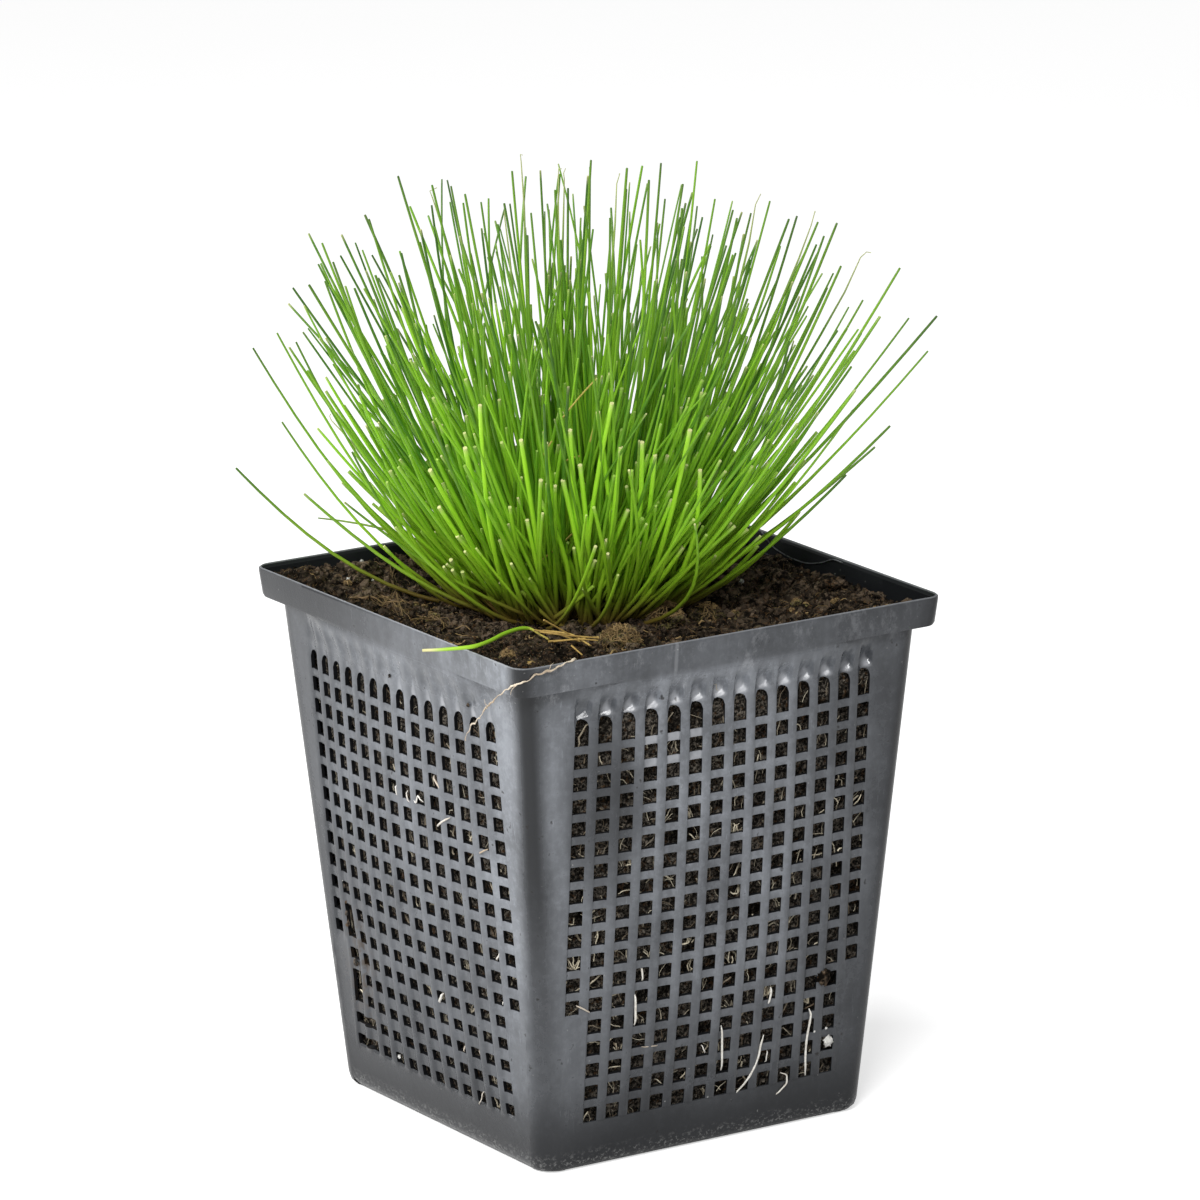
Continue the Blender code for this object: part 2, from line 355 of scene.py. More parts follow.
def perforation_tree():
    """Cuts a grid of holes out of a sheet by its across and height attributes, and thickens it."""
    t = NodeTree("Perforate and thicken", {
        "Columns": "Float", "Rows": "Float", "Outer Rows": "Float", "Column Pitch": "Float",
        "Row Pitch": "Float", "Hole": "Float", "Mesh Top": "Float", "Wall": "Float",
        "Material": "Material"})
    given = t.given
    across = t.maths("DIVIDE", t.attribute("across"), given["Column Pitch"])
    column = t.maths("ADD", across, t.times(given["Columns"], 0.5))
    down = t.maths("SUBTRACT", given["Mesh Top"], t.attribute("height"))
    row = t.maths("DIVIDE", down, given["Row Pitch"])
    in_hole = []
    for place, pitch in ((column, given["Column Pitch"]), (row, given["Row Pitch"])):
        off_middle = t.apart(t.maths("FRACT", place), 0.5)
        in_hole.append(t.maths("LESS_THAN", t.times(off_middle, pitch), t.times(given["Hole"], 0.5)))
    from_edge = t.maths("MINIMUM", column, t.maths("SUBTRACT", given["Columns"], column))
    rows_here = t.between(t.maths("LESS_THAN", from_edge, 1.0), given["Rows"], given["Outer Rows"])
    inside = t.times(t.maths("GREATER_THAN", from_edge, 0.0), t.maths("GREATER_THAN", row, 0.0),
                     t.maths("LESS_THAN", row, rows_here))
    cut = t.maths("MAXIMUM", t.times(inside, *in_hole), t.maths("GREATER_THAN", t.attribute("broken"), 0.5))
    sheet = t.node("GeometryNodeDeleteGeometry", {0: given["Geometry"], 1: cut}, domain="FACE")[0]
    inner = t.node("GeometryNodeFlipFaces", {0: sheet})[0]
    inner = t.node("GeometryNodeExtrudeMesh", {
        "Mesh": inner, "Offset Scale": given["Wall"], "Individual": False}, mode="FACES")[0]
    shell = t.node("GeometryNodeJoinGeometry", {0: sheet})[0]
    t.tree.links.new(t.store(inner, "inner", 1.0, "FACE"), shell.node.inputs[0])
    closed = t.node("GeometryNodeMergeByDistance", {"Geometry": shell, "Distance": 0.01 * MM})[0]
    return t.end(closed, given["Material"])


def strand_tree():
    """Sweeps a round, tapered strand along every polyline; the radius attribute is its thickness."""
    if "Strands" in bpy.data.node_groups:
        return bpy.data.node_groups["Strands"]
    t = NodeTree("Strands", {"Sides": "Int", "Material": "Material"})
    curve = t.node("GeometryNodeMeshToCurve", {0: t.given["Geometry"]})[0]
    profile = t.node("GeometryNodeCurvePrimitiveCircle", {"Resolution": t.given["Sides"], "Radius": 1.0})[0]
    swept = t.node("GeometryNodeCurveToMesh", {
        "Curve": curve, "Profile Curve": profile, "Scale": t.attribute("radius"), "Fill Caps": True})[0]
    return t.end(swept, t.given["Material"])


def crumb_tree():
    """Scatters rough little lumps over the faces whose loose attribute is the given one."""
    t = NodeTree("Crumbs", {
        "Density": "Float", "Smallest": "Float", "Largest": "Float", "Seed": "Int",
        "Loose": "Float", "Material": "Material"})
    given = t.given
    unlike = t.apart(t.attribute("loose"), given["Loose"])
    points = t.node("GeometryNodeDistributePointsOnFaces", {
        "Mesh": given["Geometry"], "Density": given["Density"], "Seed": given["Seed"],
        "Selection": t.maths("LESS_THAN", unlike, 0.5)})[0]
    lump = t.node("GeometryNodeMeshUVSphere", {"Segments": 6, "Rings": 4, "Radius": 1.0})[0]
    turn = t.node("FunctionNodeRandomValue", {0: (0, 0, 0), 1: (6.28, 6.28, 6.28), "Seed": 1},
                  data_type="FLOAT_VECTOR")[0]
    squeeze = t.node("FunctionNodeRandomValue", {0: (0.6, 0.5, 0.4), 1: (1.2, 1.0, 0.8), "Seed": 3},
                     data_type="FLOAT_VECTOR")[0]
    tone, fraction = (t.node("FunctionNodeRandomValue", {2: 0.0, 3: 1.0, "Seed": seed}, data_type="FLOAT")[1]
                      for seed in (2, 4))
    size = t.between(t.maths("POWER", fraction, 2.6), given["Smallest"], given["Largest"])
    scale = t.node("ShaderNodeVectorMath", {0: squeeze, 3: size}, operation="SCALE")[0]
    lumps = t.node("GeometryNodeInstanceOnPoints", {
        "Points": points, "Instance": lump, "Rotation": turn, "Scale": scale})[0]
    real = t.node("GeometryNodeRealizeInstances", {0: t.store(lumps, "tone", tone, "INSTANCE")})[0]
    rough = t.node("ShaderNodeTexNoise", {"Scale": 1500.0, "Detail": 3.0})[1]
    centred = t.node("ShaderNodeVectorMath", {0: rough, 1: (0.5, 0.5, 0.5)}, operation="SUBTRACT")[0]
    offset = t.node("ShaderNodeVectorMath", {0: centred, 3: t.times(given["Largest"], 1.7)},
                    operation="SCALE")[0]
    broken = t.node("GeometryNodeSetPosition", {"Geometry": real, "Offset": offset})[0]
    return t.end(broken, given["Material"])


# Plans of many strands


class StrandPlan:
    """Collects polylines with their values, for one piece of many strands."""

    NAMES = ("radius", "along", "rise", "tone", "aged", "straw", "cut")

    def __init__(self):
        self.points = []
        self.edges = []
        self.values = {name: [] for name in self.NAMES}

    def add(self, points, radius, **tints):
        """One strand; radius and each tint is one number, or a list with one for every point."""
        start, count = len(self.points), len(points)
        self.points += points
        self.edges += [(start + i, start + i + 1) for i in range(count - 1)]
        given = {"along": [i / (count - 1) for i in range(count)],
                 "rise": [point.z - soil_level(point.x, point.y) for point in points],
                 "radius": radius, **tints}
        for name in self.NAMES:
            value = given.get(name, 0.0)
            self.values[name] += value if isinstance(value, list) else [value] * count

    def make(self, name, sides, material):
        mesh = bpy.data.meshes.new(name)
        mesh.from_pydata(self.points, self.edges, [])
        for label, values in self.values.items():
            mesh.attributes.new(label, "FLOAT", "POINT").data.foreach_set("value", values)
        piece = run_tree(new_object(name, mesh), strand_tree(), {"Sides": sides, "Material": material})
        piece.data.shade_smooth()
        piece.data.set_sharp_from_angle(angle=math.radians(60))
        return piece


def tapered(radius, end_share, count):
    """Radii from the foot's to a share of it at the tip."""
    return [radius * (1 + (end_share - 1) * i / (count - 1)) for i in range(count)]


def wander(chance, start, heading, length, steps, wobble):
    """A rootlet's route: short steps whose heading drifts by chance."""
    points = [start]
    heading = heading.normalized()
    for _ in range(steps):
        drift = Vector([chance.gauss(0, wobble) for _ in range(3)])
        heading = (heading + drift).normalized()
        points.append(points[-1] + heading * (length / steps))
    return points


# Shader node groups and materials


def rgba(colour):
    return (*colour, 1.0)


class Shading(NodeWriter):
    """A shader tree with short calls for the nodes that the finishes share."""

    def here(self):
        """The place in the piece's own axes, as sockets X, Y and Z."""
        return self.node("ShaderNodeSeparateXYZ", {0: self.node("ShaderNodeTexCoord")["Object"]})

    def noise(self, scale, detail=3.0, rough=0.5, stretch=(1, 1, 1)):
        """Noise on Object coordinates, stretched along the axes."""
        here = self.node("ShaderNodeTexCoord")["Object"]
        return self.node("ShaderNodeTexNoise", {
            "Vector": self.node("ShaderNodeMapping", {"Vector": here, "Scale": stretch})[0],
            "Scale": scale, "Detail": detail, "Roughness": rough})[0]

    def remap(self, value, low, high, to_low=0.0, to_high=1.0):
        """A smooth step from one value to another, where the given one runs from low to high."""
        return self.node("ShaderNodeMapRange", {
            0: value, 1: low, 2: high, 3: to_low, 4: to_high}, interpolation_type="SMOOTHSTEP")[0]

    def fade(self, value, low, high):
        """A smooth step down from 1 to 0."""
        return self.remap(value, low, high, 1.0, 0.0)

    def profile(self, value, stops):
        """A smooth curve through pairs of place in millimetres and height."""
        low, high = stops[0][0], stops[-1][0]
        peak = max(height for _, height in stops)
        share = self.node("ShaderNodeMapRange", {0: value, 1: low * MM, 2: high * MM})[0]
        ramp = self.node("ShaderNodeValToRGB", {0: share})[0]
        ramp.node.color_ramp.interpolation = "EASE"
        steps = ramp.node.color_ramp.elements
        while len(steps) < len(stops):
            steps.new(0.5)
        for step, (place, height) in zip(steps, stops):
            step.position = (place - low) / (high - low)
            step.color = rgba([height / peak] * 3)
        return self.times(ramp, peak)

    def blend(self, share, first, second):
        return self.node("ShaderNodeMix", {0: share, 6: first, 7: second}, data_type="RGBA")[2]

    def coat(self, base, colour, *shares):
        """A colour laid over the base, as strongly as the product of its shares."""
        return self.blend(self.times(*shares), base, rgba(colour))

    def attribute(self, name):
        return self.node("ShaderNodeAttribute", attribute_name=name)["Fac"]


def shader_group(name, inputs, outputs, fill):
    """A shader node group; fill(shading, given) returns the sockets to put out, in order."""
    tree = bpy.data.node_groups.new(name, "ShaderNodeTree")
    given = add_sockets(tree, inputs, outputs)
    out = tree.nodes.new("NodeGroupOutput")
    for socket, made in zip(out.inputs, fill(Shading(tree), given)):
        tree.links.new(made, socket)
    return tree


def specks(shading, given):
    """Small sharp-edged spots; Amount sets how many."""
    edge = shading.maths("SUBTRACT", 0.80, given["Amount"])
    rise = shading.maths("SUBTRACT", shading.noise(given["Scale"], 2.0, 0.6), edge)
    return [shading.maths("MINIMUM", shading.maths("MAXIMUM", shading.times(rise, 14.0), 0.0), 1.0)]


def grain(shading, given):
    """Fine surface relief from two sizes of noise."""
    fine = shading.noise(shading.times(given["Scale"], 6.0), 2.0)
    return [shading.maths("MULTIPLY_ADD", fine, given["Fine"], shading.noise(given["Scale"], 4.0, 0.6))]


# The shared groups: their inputs, their outputs and what fills them
GROUPS = {
    "Specks": ({"Scale": "Float", "Amount": "Float"}, {"Mask": "Float"}, specks),
    "Grain": ({"Scale": "Float", "Fine": "Float"}, {"Height": "Float"}, grain),
}


def use_group(shading, name, **inputs):
    """Place a shared group, which is built on its first use, with its own values."""
    tree = bpy.data.node_groups.get(name) or shader_group(name, *GROUPS[name])
    return shading.node("ShaderNodeGroup", inputs, node_tree=tree)[0]


def grained(shading, scale, fine, strength, depth):
    """A normal with the shared fine relief in it."""
    return shading.node("ShaderNodeBump", {
        "Height": use_group(shading, "Grain", Scale=scale, Fine=fine),
        "Strength": strength, "Distance": depth})[0]


def new_material(name, roughness, specular=0.5):
    material = bpy.data.materials.new(name)
    material.use_nodes = True
    surface = material.node_tree.nodes["Principled BSDF"]
    surface.inputs["Roughness"].default_value = roughness
    surface.inputs["Specular IOR Level"].default_value = specular
    return material, Shading(material.node_tree), surface


def connect(shading, surface, **sockets):
    for name, socket in sockets.items():
        shading.tree.links.new(socket, surface.inputs[name.replace("_", " ")])


# Painted light and shade, laid as more or less dust along the two outer faces, from the left corner past the
# front one to the right one:
# difference of x and y in millimetres, and share of the usual dust
BODY_DUST_AND_PAINTED_LIGHT = [(-110, 0.24), (-88, 0.42), (-72, 1.04), (-52, 0.98), (-26, 0.95), (-8, 1.62), (0, 1.0),
             (8, 0.98), (24, 1.00), (42, 1.30), (60, 1.24), (98, 0.46)]
RIM_DUST_AND_PAINTED_LIGHT = [(-110, 0.04), (-88, 0.07), (-56, 0.44), (-30, 1.20), (-8, 2.10), (0, 1.0), (10, 0.80),
            (40, 0.56), (80, 0.42), (105, 0.30)]
# The outer walls lie beyond this place on the -X and -Y sides, and the outermost columns within this one
OUTER_FACE = -48.5 * MM
OUTER_COLUMN = 39.3 * MM
# The mould's seam on the front rim, and the middle of the lit bars on the front wall
SEAM = -14.8 * MM
LIT_MIDDLE = -14.0 * MM
# A cleaner patch near the front corner: difference of x and y, height, and its reach both ways
CLEAN_PATCH = (19 * MM, 84 * MM)
CLEAN_REACH = (11 * MM, 24 * MM)
# Colours on the plastic
WORN_EDGE = (0.36, 0.36, 0.35)
LIP_SHEEN = (0.30, 0.31, 0.33)
SCUFF = (0.36, 0.37, 0.39)
PAINTED_GLINT = (0.52, 0.53, 0.56)
LIT_BAR = (0.50, 0.51, 0.54)
DIRT = (0.010, 0.008, 0.006)
SMEAR = (0.055, 0.036, 0.020)
CHIP = (0.50, 0.50, 0.48)
# Colours in the soil
SIDE_SHADE = (0.016, 0.014, 0.011)
RUST = (0.180, 0.095, 0.042)
MOSS = (0.340, 0.290, 0.105)
PALE_BIT = (0.40, 0.33, 0.24)
WHITE_GRAIN = (0.96, 0.95, 0.90)
# Colours on the stems
STREAK = (0.400, 0.700, 0.060)
LOWER_STEM = (0.280, 0.400, 0.020)
STEM_FOOT = (0.155, 0.080, 0.024)
OLD_TIP = (0.040, 0.080, 0.024)
DEAD_STEM = (0.50, 0.32, 0.10)
CUT_END = (0.72, 0.68, 0.34)


def off_column(shading, along, pitch):
    """How far a place is from the middle of its column, as a share of the pitch."""
    return shading.apart(shading.maths("FRACT", shading.maths("DIVIDE", along, pitch)), 0.5)


def painted_glints(shading, along, across, height, shape):
    """Painted highlights: pale glints that taper upwards from each arch; shape is pitch, lowest height and
    width share.
    """
    pitch, low, width = shape
    wide = shading.remap(height, low + 0.4 * MM, low + 4.6 * MM, width, 0.03)
    beside = shading.maths("DIVIDE", off_column(shading, along, pitch), wide)
    return shading.times(
        shading.fade(beside, 0.2, 1.0),
        shading.remap(height, low, low + 0.9 * MM),
        shading.fade(height, low + 1.2 * MM, low + 5 * MM),
        shading.maths("LESS_THAN", across, OUTER_FACE),
        shading.maths("LESS_THAN", shading.maths("ABSOLUTE", along), OUTER_COLUMN))


def lit_bars(shading, here, pitch):
    """A painted highlight on the upper cross bars under some of the front wall's arches."""
    return shading.times(
        shading.fade(off_column(shading, here["X"], pitch), 0.20, 0.30),
        shading.fade(shading.apart(here["X"], LIT_MIDDLE), 7.0 * MM, 10.5 * MM),
        shading.fade(shading.apart(here["Z"], ROW_TWO), 3.4 * MM, 4.2 * MM),
        shading.maths("LESS_THAN", here["Y"], OUTER_FACE))


def plastic_material(settings):
    """Black moulded plastic, dusty outside and clean inside, scuffed along its edges; its dust also paints
    shade inside, on the holes' sides, down the front corner and towards the base, and paints light along the
    faces, with painted highlights over the arches and on some cross bars.
    """
    material, s, surface = new_material("dusty_black_plastic_painted_light", 0.42)
    here = s.here()
    height = here["Z"]
    side = s.maths("SUBTRACT", here["X"], here["Y"])
    back = s.maths("ADD", here["X"], here["Y"])
    off_corner = s.apart(s.maths("ABSOLUTE", here["X"]), s.maths("ABSOLUTE", here["Y"]))
    lip = s.remap(height, RIM_TOP - 0.35 * MM, RIM_TOP - 0.1 * MM)
    on_rim = s.remap(height, LEDGE - 2 * MM, LEDGE + 1 * MM)
    # Inner faces, the inner wall and the holes' sides: clean there, and kept dark as painted shade
    inside = s.maths("MAXIMUM", s.maths("SUBTRACT", s.attribute("inner"), lip), 0.0)
    off_patch = [s.maths("POWER", s.maths("DIVIDE", s.maths("SUBTRACT", value, middle), reach), 2.0)
                 for value, middle, reach in zip((side, height), CLEAN_PATCH, CLEAN_REACH)]
    # Share of the dust that stays: none inside, less down the front corner as painted shade, painted shade
    # towards the base and the back corners, painted light and shade along the faces by the two profiles, and
    # less in a cleaner patch
    kept_dust_and_painted_light = s.times(
        s.maths("SUBTRACT", 1.0, inside),
        s.remap(off_corner, 1.0 * MM, 7.0 * MM, s.remap(height, 12 * MM, 80 * MM, 0.62, 0.03), 1.0),
        s.remap(height, -12 * MM, 82 * MM, 0.25, 1.0),
        s.remap(height, 3 * MM, 21 * MM, 0.12, 1.0),
        s.between(on_rim, s.profile(side, BODY_DUST_AND_PAINTED_LIGHT), s.profile(side, RIM_DUST_AND_PAINTED_LIGHT)),
        s.remap(back, -65 * MM, 25 * MM, 1.0, 0.78),
        s.remap(s.maths("ADD", *off_patch), 0.0, 1.7, 0.30, 1.0))
    mottle = s.remap(s.noise(38.0, 5.0, 0.62), 0.30, 0.72)
    streaks = s.remap(s.noise(110.0, 4.0, 0.65, (1, 1, 0.14)), 0.40, 0.75)
    scratches = s.remap(s.noise(1300.0, 3.0, 0.7, (1, 1, 0.10)), 0.62, 0.72)
    clouds = s.remap(s.noise(420.0, 5.0, 0.75), 0.42, 0.68)
    dust_and_painted_light = 0.25
    for pattern, strength in ((mottle, 0.32), (streaks, 0.22), (scratches, 0.20), (clouds, 0.17)):
        dust_and_painted_light = s.maths("MULTIPLY_ADD", pattern, strength, dust_and_painted_light)
    # So the dust paints light and shade over the outside as well as dust
    dust_and_painted_light = s.times(dust_and_painted_light, kept_dust_and_painted_light)
    base = s.blend(dust_and_painted_light, rgba(settings.colour), rgba(settings.dust_and_painted_light))
    edges = s.maths("MAXIMUM", s.fade(height, 0.4 * MM, 5.5 * MM), s.times(lip, 0.5))
    worn = s.remap(s.noise(900.0, 5.0, 0.75, (1, 1, 1.4)), 0.52, 0.62)
    base = s.coat(base, WORN_EDGE, edges, worn, 0.55)
    base = s.coat(base, LIP_SHEEN, lip, 0.55)
    seam = s.fade(s.apart(here["X"], SEAM), 0.15 * MM, 0.7 * MM)
    base = s.coat(base, SCUFF, seam, on_rim, s.maths("LESS_THAN", here["Y"], OUTER_FACE), 0.30)
    under_rim = s.remap(height, LEDGE - 7 * MM, LEDGE - 1 * MM)
    rubbed = s.remap(s.noise(170.0, 7.0, 0.8, (1, 1, 0.6)), 0.52, 0.66)
    on_front = s.remap(side, -30 * MM, 4 * MM, 0.22, 1.0)
    base = s.coat(base, SCUFF, under_rim, rubbed, on_front, kept_dust_and_painted_light, 0.55)
    uneven = s.remap(s.noise(190.0, 2.0), 0.38, 0.60, 0.45, 1.0)
    # Painted highlights that taper up from the arches of the left and the front walls
    left_painted_glints = s.times(
        painted_glints(s, here["Y"], here["X"], height, (settings.column_pitch, 102.0 * MM, 0.24)),
        s.remap(side, -72 * MM, -30 * MM, 0.14, 1.0))
    front_painted_glints = s.times(
        painted_glints(s, s.maths("SUBTRACT", here["X"], 0.5 * MM), here["Y"], height,
              (settings.column_pitch, 104.0 * MM, 0.34)),
        s.remap(here["X"], -35 * MM, -29 * MM))
    base = s.coat(base, PAINTED_GLINT, s.maths("MAXIMUM", left_painted_glints, front_painted_glints), uneven, 0.52)
    # Painted highlight on some upper cross bars
    base = s.coat(base, LIT_BAR, lit_bars(s, here, settings.column_pitch), uneven, 0.50)
    base = s.coat(base, DIRT, use_group(s, "Specks", Scale=420.0, Amount=0.105), 0.8)
    smudge = s.remap(s.noise(420.0, 5.0, 0.7), 0.44, 0.60)
    base = s.coat(base, SMEAR, s.attribute("smear"), smudge, 0.85)
    base = s.coat(base, CHIP, use_group(s, "Specks", Scale=700.0, Amount=0.060), 0.5)
    polish = s.times(s.remap(height, ARCH_SPRING, POCKET), s.fade(height, FLUTE_TOP, LEDGE))
    rough = s.maths("MULTIPLY_ADD", dust_and_painted_light, 0.30, s.maths("MULTIPLY_ADD", inside, 0.25, 0.22))
    connect(s, surface, Base_Color=base, Normal=grained(s, 300.0, 0.35, 0.20, 0.25 * MM),
            Roughness=s.maths("MULTIPLY_ADD", polish, -0.14, rough),
            Specular_IOR_Level=s.maths("MULTIPLY_ADD", inside, -0.30, 0.4))
    return material


def peat_material(settings):
    """Dark damp peat with drier brown crumbs, rusty bits, pale specks, moss and pale grains, with painted
    shade in its hollows, along the left wall and in patches on its sides.
    """
    material, s, surface = new_material("crumbly_peat", 0.92, 0.08)
    loose = s.attribute("loose")
    grit = s.remap(s.noise(1500.0, 5.0, 0.7), 0.45, 0.62)
    clods = s.remap(s.noise(460.0, 6.0, 0.74), 0.44, 0.66)
    crumbs = s.maths("POWER", s.attribute("tone"), 3.0)
    # Paleness of the crumbs, darkened as painted shade in the hollows and along the left wall
    lit = s.times(s.maths("MAXIMUM", s.between(loose, grit, clods), crumbs),
                  s.maths("MULTIPLY_ADD", s.attribute("painted_shade_and_damp"), -0.88, 1.0))
    base = s.blend(lit, s.blend(loose, rgba(SIDE_SHADE), rgba(settings.dark)),
                   s.blend(loose, rgba(settings.dry), rgba(settings.light)))
    # Painted shade in broad patches on the root ball's sides behind the mesh
    painted_cave_shade = s.remap(s.noise(85.0, 2.0), 0.50, 0.62)
    base = s.coat(base, settings.dark, s.maths("SUBTRACT", 1.0, loose), painted_cave_shade, 0.72)
    base = s.coat(base, RUST, s.remap(s.noise(900.0, 3.0, 0.6), 0.56, 0.66), 0.45)
    base = s.coat(base, MOSS, s.attribute("moss"), s.remap(s.noise(1300.0, 4.0, 0.7), 0.46, 0.60))
    base = s.coat(base, PALE_BIT, use_group(s, "Specks", Scale=1500.0, Amount=0.15), 0.6)
    base = s.coat(base, WHITE_GRAIN, s.attribute("grain"))
    connect(s, surface, Base_Color=base, Normal=grained(s, 800.0, 0.6, 0.9, 1.0 * MM))
    return material


def stem_material(settings):
    """Green stem: brown at its foot, fresh in the middle, greyer to the tip, cream where it was cut."""
    material, s, surface = new_material("fresh_grass_stem", 0.36, 0.28)
    rise = s.attribute("rise")
    base = s.blend(s.attribute("tone"), rgba(settings.deep_green), rgba(settings.green))
    base = s.coat(base, STREAK, s.remap(s.noise(500.0, 2.0, 0.5, (1, 1, 0.08)), 0.40, 0.70), 0.22)
    base = s.coat(base, LOWER_STEM, s.fade(rise, 4.0 * MM, 34.0 * MM), 0.55)
    base = s.coat(base, STEM_FOOT, s.fade(rise, 0.5 * MM, 12.5 * MM), 0.90)
    base = s.coat(base, OLD_TIP, s.remap(s.attribute("along"), 0.35, 0.95), s.attribute("aged"), 0.85)
    base = s.coat(base, DEAD_STEM, s.attribute("straw"))
    base = s.coat(base, CUT_END, s.attribute("cut"))
    connect(s, surface, Base_Color=base, Normal=grained(s, 900.0, 0.3, 0.15, 0.1 * MM))
    return material


def fibre_material(name, dark, pale):
    """Dry rootlet or straw, from a dark to a pale colour along its tone."""
    material, s, surface = new_material(name, 0.7, 0.3)
    base = s.blend(s.attribute("tone"), rgba(dark), rgba(pale))
    patches = s.remap(s.noise(900.0, 3.0, 0.6), 0.35, 0.7)
    base = s.coat(base, [0.5 * channel for channel in dark], patches, 0.35)
    connect(s, surface, Base_Color=base, Normal=grained(s, 1500.0, 0.5, 0.3, 0.2 * MM))
    return material


def floor_material(settings):
    """Pale floor, lifted towards white where the camera sees it directly."""
    material, s, surface = new_material("plain_floor", 0.8, 0.2)
    seen = s.node("ShaderNodeLightPath")["Is Camera Ray"]
    lighter = [min(1.0, 1.02 * channel) for channel in settings.floor_colour]
    surface.inputs["Emission Color"].default_value = (1, 1, 1, 1)
    connect(s, surface, Emission_Strength=s.times(seen, settings.floor_glow),
            Base_Color=s.blend(s.noise(6.0, 2.0), rgba(settings.floor_colour), rgba(lighter)))
    return material


# The basket

# Places of the sheet's upright lines over a hole, as shares of its half width
HOLE_STEPS = (-1.0, -0.75, -0.4, 0.0, 0.4, 0.75, 1.0)
# Levels of the sheet over the arches, and on the rim with their share of the rim's step, in millimetres
FLUTE_LEVELS = (104.4, 104.8, 105.2, 105.6, 106.0, 106.4, 106.9, 107.7, 109.0, 110.7, 111.4, 111.7)
RIM_LEVELS = ((111.85, 0.55), (112.1, 0.93), (112.7, 1.0), (115.5, 1.0), (117.9, 1.0), (118.5, 0.99))
# Levels of the rounded lower edge, and how far each lies inside the wall's face
BASE_EDGE = ((0.0, 2.3 * MM), (0.35 * MM, 1.1 * MM), (1.2 * MM, 0.3 * MM))
CORNER_STEPS = 6
# Distance from a wall's middle at which its bow outwards ends
BOW_REACH = 38 * MM
# The arches over the top row, and the pocket and the grooves over them
ARCH_SPRING = 102.4 * MM
ARCH_RISE = 1.8 * MM
POCKET = 106.4 * MM
FLUTE_HALF_WIDTH = 2.05 * MM
FLUTE_TOP = 110.8 * MM
# The facet over an arch: its slopes across and upwards, and its depth over the arch's top
ARCH_TOP = ARCH_SPRING + ARCH_RISE
FACET_SLOPES = (0.78, 0.95)
FACET_DEPTH = 0.75 * MM
# How steeply a groove deepens from the rib at its one side and from the rib at its other
FLANKS = (1.3, 4.0)
# How deep the left wall's flutes are against the others', and how far each wall's flutes cut the swelling
LEFT_FLUTES, SWELLING_CUT = 0.30, 0.2
# How far the left wall's arches lie below the others'
LEFT_ARCH_DROP = 1.5 * MM
RIB_PROUD = 0.36 * MM
RIM_DRAFT = 0.6 * MM
# The swelling that joins the ribs to the rim: its share of the rim's step, and where it fades to the sides
SWELLING = 0.85
SWELLING_FADE = (26 * MM, 41 * MM)
# The damaged patch low on the left wall: middle across and height, reach, sideways push and dent
DAMAGE = Vector((-28.0, 31.0, 0.0)) * MM
DAMAGE_REACH = (6.0 * MM, 13.0 * MM)
DAMAGE_PUSH, DAMAGE_DENT = 1.0 * MM, 0.4 * MM
# Bars and ribs broken out of the left wall: across from and to, height from and to, in millimetres
BROKEN = [(-32.6, -29.3, 39.8, 41.8), (-32.6, -29.3, 24.3, 26.4),
          (-29.3, -26.9, 16.0, 19.4), (-29.3, -26.9, 10.9, 14.3)]
# The drain slots in the base
DRAIN_SIZE = (14.0 * MM, 3.3 * MM)
DRAIN_PLACES = [(side * 21.0 * MM, row * 14.0 * MM) for side in (-1, 1) for row in (-1, 0, 1)]


def body_half_width(settings, z):
    base, top = settings.base_width / 2, settings.body_top_width / 2
    return base + (top - base) * z / RIM_TOP


def rim_half_width(settings, z):
    return settings.rim_width / 2 - RIM_DRAFT * (1 - smooth_step(LEDGE, RIM_TOP, z))


def wall_bow(across, z):
    """How far a wall bows outwards at this place."""
    rise = z - 50 * MM
    most = max(0.0, 2.58 * MM + 0.0256 * rise - 0.6656 * rise * rise)
    return most * max(0.0, 1 - (across / BOW_REACH) ** 2)


def mesh_edge(settings):
    """Half the width of the part of a wall that has holes."""
    return settings.columns * settings.column_pitch / 2


def across_lines(settings):
    """Places of the sheet's upright edge lines on one wall, from its left to its right."""
    half = settings.hole / 2
    lines = []
    for column in range(settings.columns):
        middle = (column - (settings.columns - 1) / 2) * settings.column_pitch
        if column:
            lines.append(middle - settings.column_pitch / 2)
        lines += [middle - FLUTE_HALF_WIDTH, *(middle + half * share for share in HOLE_STEPS),
                  middle + FLUTE_HALF_WIDTH]
    outermost = lines[-1] + 1.2 * MM
    return [-outermost, *lines, outermost]


def level_lines(settings):
    """Levels of the sheet from base to rim: (height, nominal height for the holes, share of rim, inset)."""
    half = settings.hole / 2
    lowest = lowest_hole(settings, 0.0)
    plain = [2.6 * MM, 5.0 * MM, lowest - 1 * MM, lowest - 0.1 * MM]
    for row in range(settings.rows, 1, -1):
        middle = ROW_TWO - (row - 2) * settings.row_pitch
        plain += [middle - half, middle + half, middle + settings.row_pitch / 2]
    first = ROW_TWO + settings.row_pitch
    levels = [(z, z, 0.0, inset) for z, inset in BASE_EDGE]
    levels += [(z, z, 0.0, 0.0) for z in (*plain, first - half)]
    levels.append((ARCH_SPRING, first + half, 0.0, 0.0))
    levels += [(z * MM, z * MM, 0.0, 0.0) for z in FLUTE_LEVELS]
    levels += [(z * MM, z * MM, share, 0.0) for z, share in RIM_LEVELS]
    return levels + [(RIM_TOP, RIM_TOP, 0.90, 0.0)]


def column_offset(settings, across):
    """Distance from the nearest column's middle line, signed."""
    column = round(across / settings.column_pitch - 0.5) + 0.5
    return across - column * settings.column_pitch


